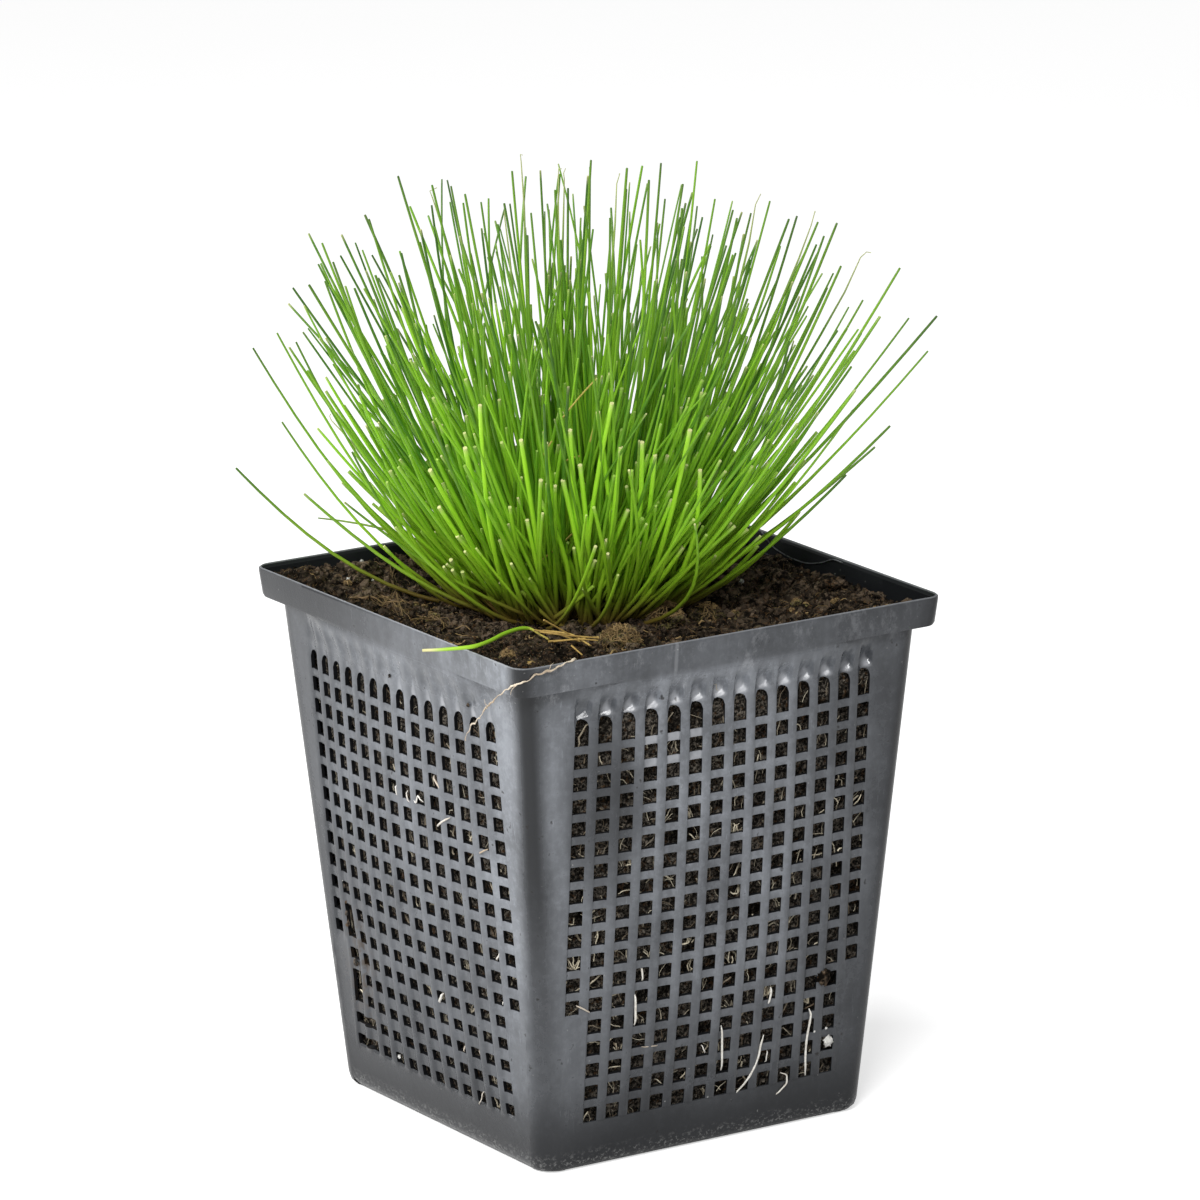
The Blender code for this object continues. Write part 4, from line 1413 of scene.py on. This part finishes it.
class PLANT_OT_soil(bpy.types.Operator):
    """Make the root ball, with the crumbs, fibres and roots on it"""
    bl_idname = "plant.soil"
    bl_label = "Peat soil"

    def execute(self, context):
        settings = context.scene.plant_soil
        basket = context.scene.plant_basket
        chance = random.Random(settings.seed)
        peat = peat_material(settings)
        fibre = fibre_material("tan_fibre", (0.075, 0.042, 0.018), (0.50, 0.34, 0.15))
        rootlet = fibre_material("straw_rootlet", (0.150, 0.105, 0.065), (0.90, 0.82, 0.62))
        white = fibre_material("white_root", (0.50, 0.34, 0.18), (0.86, 0.84, 0.78))
        block = soil_block(settings, basket)
        scatter = crumb_tree()
        width, depth = 100 * MM, 105 * MM
        crumbs = new_object("soil_crumbs", block.data.copy())
        run_tree(crumbs, scatter, {
            "Density": settings.crumbs / width ** 2, "Smallest": SMALLEST_CRUMB, "Largest": LARGEST_CRUMB,
            "Seed": 4, "Loose": 1.0, "Material": peat})
        side_crumbs = new_object("side_crumbs", block.data.copy())
        run_tree(side_crumbs, scatter, {
            "Density": settings.side_crumbs / (4 * width * depth), "Smallest": SMALLEST_CRUMB,
            "Largest": LARGEST_SIDE_CRUMB, "Seed": 5, "Loose": 0.0, "Material": peat})
        clods = make_clods(settings, chance)
        for piece in (block, clods):
            piece.data.materials.append(peat)
        finish_piece(block, "soil", "soil")
        for piece in (crumbs, side_crumbs, clods):
            finish_piece(piece, "soil")
        for piece in (block, crumbs, side_crumbs, clods):
            piece.data.shade_smooth()
        crumbs.data.set_sharp_from_angle(angle=math.radians(40))
        finish_piece(make_soil_fibres(settings, chance, fibre), "root")
        finish_piece(make_wall_rootlets(settings, basket, chance, rootlet), "root")
        finish_piece(make_wall_roots(basket, white), "root")
        return {"FINISHED"}


# The tuft

# Steps along a stem, and its points with those of its cut end
STEM_STEPS = 9
STEM_POINTS = STEM_STEPS + 3
# Lengths of a stem's end that pale, and that make its cut face
CUT_PALE, CUT_FACE = 2.2 * MM, 0.25 * MM
# Radius of a withered hair-thin tip
WISP_RADIUS = 0.13 * MM
# Feet of the placed stems are held within this distance of the crown's middle
CROWN_HOLD = 20 * MM
SHEATHS = 110
# Lengths of the inner stems as shares of the longest: limit of the draw, least share and greatest share
STRETCHES = ((0.10, 0.88, 0.98), (0.36, 0.72, 0.90), (0.72, 0.52, 0.76), (math.inf, 0.28, 0.56))


def stem_route(foot, tip, sag, side):
    """A stem's centre line, below its chord by sag; its last three points hold the paler cut end."""
    line = tip - foot
    length = line.length
    ahead = line.normalized()
    upwards = (Vector((0, 0, 1)) - ahead * ahead.z).normalized()
    sideways = ahead.cross(upwards)
    points = []
    shares = [i / STEM_STEPS for i in range(STEM_STEPS)]
    for share in shares + [1 - CUT_PALE / length, 1 - CUT_FACE / length, 1.0]:
        bend = 4 * share * (1 - share) * (1.25 - 0.5 * share)
        points.append(foot + line * share + (sideways * side - upwards * sag) * length * bend)
    return points


def longest_at(settings, lean):
    """Length of the longest stems at a lean: full in the middle, shorter where they lie low."""
    low = smooth_step(math.radians(48), math.radians(68), lean)
    return settings.longest * (1 - 0.22 * low)


# Stems that make the tuft's outline, as places in the 1200 pixel picture: tip x, tip y, foot x
PICTURE_SIZE = 1200
CROWN_IN_PICTURE = (573, 603)
OUTLINE_STEMS = [
    (236, 468, 482), (253, 348, 490), (277, 333, 484), (296, 342, 500), (282, 422, 484),
    (322, 243, 500), (333, 262, 505), (331, 278, 520), (325, 281, 492), (369, 219, 515),
    (367, 273, 530), (333, 364, 520), (398, 176, 560), (399, 275, 520), (420, 242, 540),
    (432, 185, 560), (451, 186, 545), (465, 194, 570), (481, 202, 550), (512, 171, 560),
    (531, 213, 565), (555, 190, 570), (568, 188, 565), (591, 160, 560), (590, 167, 590),
    (610, 218, 585), (627, 168, 600), (649, 180, 615), (661, 163, 605), (665, 199, 610),
    (683, 184, 600), (697, 161, 640), (682, 208, 620), (715, 199, 620), (733, 210, 610),
    (737, 218, 640), (751, 213, 640), (770, 201, 640), (789, 219, 630), (797, 216, 650),
    (818, 222, 640), (837, 223, 650), (824, 236, 660), (841, 266, 655), (863, 300, 640),
    (900, 268, 660), (909, 318, 650), (937, 316, 640), (928, 351, 640), (890, 426, 630),
    (875, 447, 640), (846, 475, 650), (847, 441, 640), (853, 410, 650), (352, 452, 486)]
WISPY_STEMS = [
    (431, 187, 545), (505, 208, 560), (523, 155, 545), (557, 168, 570), (565, 171, 565),
    (619, 172, 600), (760, 194, 630), (868, 250, 640), (817, 214, 640), (328, 413, 492)]
DROOPING_STEM = (318, 518, 484)
# Dead stems inside the tuft: end x and y, other end x and y
STRAW_STEMS = [
    (560, 421, 597, 378), (541, 460, 552, 441), (562, 463, 580, 456), (590, 442, 597, 418),
    (536, 566, 562, 545), (562, 545, 577, 530), (615, 594, 633, 577)]


def picture_place(studio, x, y, depth):
    """The place that the camera sees at this pixel, depth metres behind the crown's middle."""
    focal = studio.lens / SENSOR * PICTURE_SIZE
    aim = Vector(((x - PICTURE_SIZE / 2) / focal, (PICTURE_SIZE / 2 - y) / focal, -1))
    ray = camera_rotation(studio) @ aim
    away = Vector((math.sin(studio.camera_yaw), math.cos(studio.camera_yaw), 0))
    plane = Vector((*CROWN, 0)) + away * depth
    return CAMERA_PLACE + ray * ((plane - CAMERA_PLACE).dot(away) / ray.dot(away))


def rooted(x, y, depth=1.5 * MM):
    """The place this deep in the soil."""
    return Vector((x, y, soil_level(x, y) - depth))


def crown_foot(place):
    """The same place moved straight down into the soil, and held within the crown."""
    off = Vector((place.x - CROWN[0], place.y - CROWN[1]))
    if off.length > CROWN_HOLD:
        off *= CROWN_HOLD / off.length
    return rooted(CROWN[0] + off.x, CROWN[1] + off.y)


def outwards_at(heading):
    return Vector((math.cos(heading), math.sin(heading), 0))


def leaning(outwards, lean):
    """The direction that leans this much from upright."""
    return outwards * math.sin(lean) + Vector((0, 0, math.cos(lean)))


def add_outline_stems(plan, chance, settings, studio):
    """The stems whose tips stand out of the tuft against the background."""
    for place in OUTLINE_STEMS + WISPY_STEMS + [DROOPING_STEM]:
        x, y, foot_x = place
        level = picture_place(studio, x, y, 0) - picture_place(studio, *CROWN_IN_PICTURE, 0)
        lean = math.acos(level.normalized().z)
        room = max(0.0, (0.99 * longest_at(settings, lean)) ** 2 - level.length_squared)
        depth = chance.choice((-1, 1)) * math.sqrt(room) * chance.uniform(0.2, 0.75)
        tip = picture_place(studio, x, y, depth)
        foot = crown_foot(picture_place(studio, foot_x, CROWN_IN_PICTURE[1], 0.35 * depth))
        leftwards = x < CROWN_IN_PICTURE[0]
        sag = (0.095 if leftwards else 0.045) * (lean / settings.lean_limit) ** 1.5
        sag += chance.gauss(0.004, 0.008)
        radius = settings.stem_radius * chance.uniform(0.72, 0.95)
        radii = tapered(radius, 0.46, STEM_POINTS)
        cut = 0.0
        if place == DROOPING_STEM:
            sag = -0.10
            radii = tapered(radius, 0.35, STEM_POINTS)
        if place in WISPY_STEMS:
            radii[-4:] = [WISP_RADIUS * share for share in (1.6, 1.0, 0.8, 0.7)]
            cut = [0.0] * (STEM_POINTS - 4) + [0.3, 0.5, 0.5, 0.5]
        route = stem_route(foot, tip, sag, chance.gauss(0, 0.010))
        if place in WISPY_STEMS:
            for point in route[-3:]:
                point += Vector([chance.gauss(0, 0.5 * MM) for _ in range(3)])
        plan.add(route, radii,
                 tone=chance.uniform(0.2, 0.8), aged=chance.uniform(0.6, 1.0), cut=cut)


def add_inner_stems(plan, chance, settings, studio):
    """The mass of the tuft: sunflower-spaced feet, leaning out more the further out they stand."""
    for index in range(settings.stems):
        share = math.sqrt((index + 0.5) / settings.stems)
        heading = index * math.pi * (3 - math.sqrt(5)) + chance.gauss(0, 0.3)
        spread = min(1.05, max(0.0, share + chance.gauss(0, 0.10)))
        lean = settings.lean_limit * (0.84 * spread ** 1.1) + math.radians(chance.gauss(0, 7.5))
        lean = min(abs(lean), math.radians(62))
        towards = abs(math.sin(heading + studio.camera_yaw))
        kind = chance.random() + 0.35 * smooth_step(0.75, 1.0, share) - 0.10
        stretch = chance.uniform(*next(span for limit, *span in STRETCHES if kind < limit))
        shorter = 0.36 - 0.24 * smooth_step(0.6, 0.95, towards)
        stretch *= 1 - shorter * smooth_step(math.radians(38), math.radians(58), lean)
        if stretch < 0.56:
            lean = min(abs(lean + math.radians(chance.gauss(0, 9))), math.radians(64))
        outwards = outwards_at(heading)
        reach = settings.crown_radius * share * chance.uniform(0.88, 1.0)
        foot = rooted(CROWN[0] + outwards.x * reach, CROWN[1] + outwards.y * reach)
        heading += chance.gauss(0, 0.42)
        middle = Vector((*CROWN, foot.z))
        length = longest_at(settings, lean) * stretch
        tip = middle + (foot - middle) * 0.35 + leaning(outwards_at(heading), lean) * length
        sag = 0.085 * (lean / settings.lean_limit) ** 1.5 * chance.uniform(0.2, 1.1)
        sag += chance.gauss(0.0, 0.018)
        whole = stretch > 0.82 and chance.random() < 0.7
        radius = settings.stem_radius * chance.uniform(0.74, 1.08) * (1.22 - 0.40 * stretch)
        end_share = chance.uniform(0.38, 0.55) if stretch > 0.7 else chance.uniform(0.58, 0.82)
        tip_colour = 0.0 if whole else chance.uniform(0.15, 0.9)
        route = stem_route(foot, tip, sag, chance.gauss(0, 0.044))
        plan.add(route, tapered(radius, end_share, STEM_POINTS),
                 tone=0.62 * chance.random() + 0.55 * (0.85 - stretch),
                 aged=chance.uniform(0.2, 0.9) if stretch > 0.76 else 0.05,
                 cut=[0.0] * (STEM_POINTS - 2) + [0.5 * tip_colour, tip_colour])


# Bright stems that stand in front of the others, as places in the picture: tip x, tip y, foot x
FRONT_STEMS = [
    (457, 536, 512), (439, 507, 505), (546, 443, 600), (560, 547, 584), (683, 547, 612), (645, 520, 668),
    (612, 403, 585), (598, 412, 628), (642, 442, 606), (621, 447, 612), (580, 465, 583), (563, 480, 592),
    (488, 493, 538), (480, 405, 508), (527, 520, 552), (628, 510, 603), (588, 558, 586), (641, 543, 600),
    (662, 563, 632), (521, 440, 545), (465, 448, 520), (700, 470, 640), (672, 500, 625), (540, 500, 560),
    (607, 540, 600), (500, 540, 530), (430, 470, 500), (655, 455, 622), (690, 430, 640), (570, 430, 590)]


def add_front_stems(plan, chance, settings, studio):
    """The cut stems that the camera sees whole, before the mass of the tuft."""
    for x, y, foot_x in FRONT_STEMS:
        above = CROWN_IN_PICTURE[1] - y
        tip = picture_place(studio, x, y, -(24 + 0.15 * above) * MM)
        foot = crown_foot(picture_place(studio, foot_x, CROWN_IN_PICTURE[1], -20 * MM))
        radius = settings.stem_radius * chance.uniform(1.0, 1.2)
        plan.add(stem_route(foot, tip, chance.gauss(0.01, 0.03), chance.gauss(0, 0.03)),
                 tapered(radius, 0.78, STEM_POINTS), tone=chance.uniform(0.85, 1.25),
                 cut=[0.0] * (STEM_POINTS - 3) + [0.08, 0.5, 0.9])


def add_sheaths(plan, chance, settings):
    """Short brown sheaths and dead stubs between the feet of the stems."""
    for _ in range(SHEATHS):
        outwards = outwards_at(chance.uniform(0, math.tau))
        share = math.sqrt(chance.uniform(0.25, 1.0))
        x = CROWN[0] + outwards.x * settings.crown_radius * share
        y = CROWN[1] + outwards.y * settings.crown_radius * share
        foot = rooted(x, y, 1.0 * MM)
        lean = settings.lean_limit * share * chance.uniform(0.6, 1.1)
        tip = foot + leaning(outwards, lean) * chance.uniform(4, 11) * MM
        plan.add(stem_route(foot, tip, 0.05, chance.gauss(0, 0.05)),
                 tapered(settings.stem_radius * chance.uniform(0.5, 0.9), 0.12, STEM_POINTS),
                 tone=chance.random() * 0.5, straw=chance.uniform(0.1, 0.65))


# Tips of the stems that reach furthest over the front and right walls, in millimetres
REACHING_STEMS = [(4.0, -73.5, 168.0), (-14.0, -71.0, 162.0), (22.0, -69.0, 172.0),
                  (68.5, 2.0, 166.0), (66.5, -14.0, 172.0)]


def make_tuft(settings, studio, material):
    chance = random.Random(settings.seed)
    plan = StrandPlan()
    add_outline_stems(plan, chance, settings, studio)
    add_inner_stems(plan, chance, settings, studio)
    add_front_stems(plan, chance, settings, studio)
    add_sheaths(plan, chance, settings)
    for x, y, end_x, end_y in STRAW_STEMS:
        depth = -(18 + 0.10 * (CROWN_IN_PICTURE[1] - y)) * MM
        start = picture_place(studio, x, y, depth)
        end = picture_place(studio, end_x, end_y, depth)
        middle = (start + end) / 2 + Vector((0, 0, 0.3 * MM))
        plan.add(curve_points([start, middle, end], 3), 0.19 * MM, tone=0.6, straw=0.8)
    for tip in in_metres(REACHING_STEMS):
        foot = crown_foot(Vector((CROWN[0] + 0.2 * tip.x, 0.25 * tip.y, 0)))
        plan.add(stem_route(foot, tip, 0.04, 0.01), tapered(0.9 * settings.stem_radius, 0.6, STEM_POINTS),
                 tone=0.5, aged=0.3, cut=[0.0] * (STEM_POINTS - 2) + [0.3, 0.6])
    return plan.make("grass_tuft", 7, material)


class PLANT_OT_grass(bpy.types.Operator):
    """Make the tuft of round stems"""
    bl_idname = "plant.grass"
    bl_label = "Grass tuft"

    def execute(self, context):
        settings = context.scene.plant_grass
        tuft = make_tuft(settings, context.scene.plant_studio, stem_material(settings))
        finish_piece(tuft, "grass", "grass")
        return {"FINISHED"}


# The loose strands

# Places that each strand runs through, in millimetres
FALLEN_STEM = [
    (-31.1, -29.3, 116.4), (-31.0, -25.6, 116.7), (-31.2, -22.0, 117.2), (-34.9, -23.3, 118.0),
    (-41.8, -28.2, 119.0), (-49.6, -34.5, 119.9), (-55.4, -37.3, 120.3), (-60.9, -34.5, 119.9),
    (-64.0, -31.0, 119.4)]
STRAWS = [
    [(-29.0, -23.8, 116.8), (-28.7, -30.3, 117.8), (-28.5, -35.4, 118.2), (-27.7, -40.5, 117.0)],
    [(-32.5, -31.4, 116.6), (-26.9, -33.6, 116.7), (-21.6, -34.4, 116.6)],
    [(-47.8, -44.5, 116.9), (-45.6, -45.0, 117.0), (-43.9, -46.2, 116.8)]]
RIM_ROOT = [
    (-38.6, -52.6, 117.6), (-40.6, -54.4, 119.0), (-43.2, -55.2, 118.8), (-46.5, -55.3, 118.1),
    (-49.6, -55.3, 117.4), (-52.4, -54.8, 116.6), (-54.2, -53.4, 115.4), (-55.2, -51.1, 114.0),
    (-55.3, -47.6, 111.8), (-54.9, -43.3, 108.9), (-54.2, -39.7, 106.4), (-53.9, -36.7, 103.9),
    (-53.7, -34.3, 102.1), (-53.4, -32.2, 100.2), (-53.2, -30.6, 97.7)]
STRAW_BITS = [
    [(-33.1, -29.1, 118.3), (-29.8, -35.9, 118.5), (-24.8, -39.6, 118.0)],
    [(-33.9, -35.5, 117.7), (-29.0, -38.5, 118.1), (-25.5, -40.3, 117.7)],
    [(-36.5, -36.0, 123.0), (-28.7, -35.9, 118.0), (-25.6, -37.8, 116.0)],
    [(-32.6, -26.0, 118.0), (-29.3, -29.5, 117.5), (-26.7, -35.2, 116.5)],
    [(-31.1, -38.5, 117.0), (-32.5, -44.8, 116.6)], [(-48.0, -44.5, 116.8), (-45.3, -47.8, 116.8)]]
# How far the rim root wavers, and how far it is lifted off the basket
ROOT_WOBBLE, ROOT_LIFT = 0.5 * MM, 0.2 * MM
# Short side roots of the same root, in millimetres
SIDE_ROOTS = [
    [(-47.4, -55.3, 118.0), (-47.2, -55.5, 118.9), (-46.4, -55.3, 119.3)],
    [(-54.2, -53.4, 115.4), (-55.2, -52.6, 114.2), (-55.5, -52.4, 113.0)],
    [(-54.7, -42.2, 108.2), (-54.6, -40.9, 108.3), (-54.4, -40.2, 109.1)]]


def strand_plan(points, radius, **tints):
    """A plan with one strand; its radius and tints are functions of the share of its length."""
    plan = StrandPlan()
    route = curve_points(in_metres(points), 6)
    given = {label: [value(i / (len(route) - 1)) for i in range(len(route))]
             for label, value in {"radius": radius, **tints}.items()}
    plan.add(route, **given)
    return plan


def fallen_radius(share):
    """Thin at the withered foot, full in the middle and pointed at the bleached tip."""
    swell = smooth_step(0.12, 0.34, share) - 0.62 * smooth_step(0.70, 1.0, share)
    return (0.24 + 0.21 * swell) * MM


def wobble(place):
    """Noise along the three axes, the same on every run."""
    return Vector([noise.noise(place * 750 + Vector((0, 0, shift))) for shift in (0.0, 9.3, 17.7)])


def root_radius(share):
    """Knotty and thinner towards its hanging end."""
    knots = 0.06 * math.sin(31 * share) + 0.05 * math.sin(83 * share)
    return (0.20 + knots) * (1.15 - 0.55 * share) * MM


class PLANT_OT_strands(bpy.types.Operator):
    """Make the fallen stem, the straws and the root that lies over the rim"""
    bl_idname = "plant.strands"
    bl_label = "Loose strands"

    def execute(self, context):
        green = stem_material(context.scene.plant_grass)
        straw = fibre_material("dry_straw", (0.30, 0.17, 0.04), (0.62, 0.43, 0.13))
        pale = fibre_material("rim_rootlet", (0.36, 0.25, 0.15), (0.84, 0.73, 0.58))
        plan = strand_plan(FALLEN_STEM, fallen_radius, tone=lambda s: 0.9, rise=lambda s: 1.0,
                           straw=lambda s: 0.85 - 0.70 * smooth_step(0.16, 0.34, s),
                           cut=lambda s: 1.3 * smooth_step(0.84, 1.0, s))
        finish_piece(plan.make("fallen_green_stem", 8, green), "grass", "fallen_stem")
        for number, points in enumerate(STRAWS, start=1):
            plan = strand_plan(points, lambda s: (0.25 - 0.05 * s) * MM, tone=lambda s: 0.5 + 0.4 * s)
            finish_piece(plan.make(f"loose_straw_{number}", 8, straw), "straw", f"straw_{number}")
        plan = strand_plan(RIM_ROOT, root_radius, tone=lambda s: 0.7 + 0.3 * math.sin(17 * s))
        plan.points = [p + wobble(p) * ROOT_WOBBLE for p in plan.points]
        plan.points = [p + Vector((p.x, p.y, 0)).normalized() * ROOT_LIFT for p in plan.points]
        for points in SIDE_ROOTS:
            route = curve_points(in_metres(points), 4)
            plan.add(route, tapered(0.08 * MM, 0.4, len(route)), tone=0.7)
        finish_piece(plan.make("root_over_rim", 8, pale), "root", "rim_root")
        plan = StrandPlan()
        for points in STRAW_BITS:
            route = curve_points(in_metres(points), 4)
            plan.add(route, tapered(0.22 * MM, 0.7, len(route)), tone=0.5)
        finish_piece(plan.make("straw_bits", 6, straw), "straw")
        return {"FINISHED"}


def camera_rotation(settings):
    yaw, pitch = settings.camera_yaw, settings.camera_pitch
    ahead = Vector((math.sin(yaw) * math.cos(pitch), math.cos(yaw) * math.cos(pitch), -math.sin(pitch)))
    right = Vector((math.cos(yaw), -math.sin(yaw), 0))
    up = right.cross(ahead)
    roll = settings.camera_roll
    turned_right = math.cos(roll) * right + math.sin(roll) * up
    turned_up = -math.sin(roll) * right + math.cos(roll) * up
    return Matrix((turned_right, turned_up, -ahead)).transposed()


def add_light(name, place, target, width, power):
    data = bpy.data.lights.new(name, "AREA")
    data.shape = "SQUARE"
    data.size = width
    data.energy = power
    light = bpy.data.objects.new(name, data)
    light.visible_camera = False
    light.location = place
    light.rotation_euler = (Vector(target) - Vector(place)).to_track_quat("-Z", "Y").to_euler()
    bpy.context.scene.collection.objects.link(light)


class PLANT_OT_stage(bpy.types.Operator):
    """Make the floor, the lights and the camera"""
    bl_idname = "plant.stage"
    bl_label = "Stage"

    def execute(self, context):
        settings = context.scene.plant_studio
        bm = bmesh.new()
        bmesh.ops.create_grid(bm, x_segments=2, y_segments=2, size=4.0)
        floor = object_from_bmesh("floor", bm)
        floor.data.materials.append(floor_material(settings))
        data = bpy.data.cameras.new("camera")
        data.sensor_width = SENSOR
        data.lens = settings.lens
        data.clip_end = 20.0
        camera = bpy.data.objects.new("camera", data)
        camera.matrix_world = Matrix.Translation(CAMERA_PLACE) @ camera_rotation(settings).to_4x4()
        context.scene.collection.objects.link(camera)
        context.scene.camera = camera
        world = bpy.data.worlds.new("soft_studio")
        world.use_nodes = True
        background = world.node_tree.nodes["Background"].inputs
        background["Color"].default_value = (1, 1, 1, 1)
        background["Strength"].default_value = settings.world_light
        context.scene.world = world
        context.scene.view_settings.view_transform = "Standard"
        add_light("front_softbox", *FRONT_SOFTBOX, settings.front_light)
        add_light("left_softbox", *LEFT_SOFTBOX, settings.left_light)
        return {"FINISHED"}


class PLANT_PT_panel(bpy.types.Panel):
    bl_label = "Potted grass"
    bl_idname = "PLANT_PT_panel"
    bl_space_type = "VIEW_3D"
    bl_region_type = "UI"
    bl_category = "Potted grass"

    def draw(self, context):
        for operator in OPERATORS:
            self.layout.operator(operator.bl_idname)
        for name in SETTINGS:
            box = self.layout.box()
            group = getattr(context.scene, name)
            for prop in group.bl_rna.properties:
                if prop.identifier not in ("rna_type", "name"):
                    box.prop(group, prop.identifier)


OPERATORS = (PLANT_OT_stage, PLANT_OT_basket, PLANT_OT_soil, PLANT_OT_grass, PLANT_OT_strands)
SETTINGS = {
    "plant_basket": BasketSettings,
    "plant_soil": SoilSettings,
    "plant_grass": GrassSettings,
    "plant_studio": StudioSettings,
}


def register():
    for group in SETTINGS.values():
        bpy.utils.register_class(group)
    for name, group in SETTINGS.items():
        setattr(bpy.types.Scene, name, PointerProperty(type=group))
    for operator in OPERATORS:
        bpy.utils.register_class(operator)
    bpy.utils.register_class(PLANT_PT_panel)


def unregister():
    bpy.utils.unregister_class(PLANT_PT_panel)
    for operator in reversed(OPERATORS):
        bpy.utils.unregister_class(operator)
    for name in SETTINGS:
        delattr(bpy.types.Scene, name)
    for group in reversed(list(SETTINGS.values())):
        bpy.utils.unregister_class(group)


def main():
    register()
    bpy.ops.plant.stage()
    bpy.ops.plant.basket()
    bpy.ops.plant.soil()
    bpy.ops.plant.grass()
    bpy.ops.plant.strands()


if __name__ == "__main__":
    main()
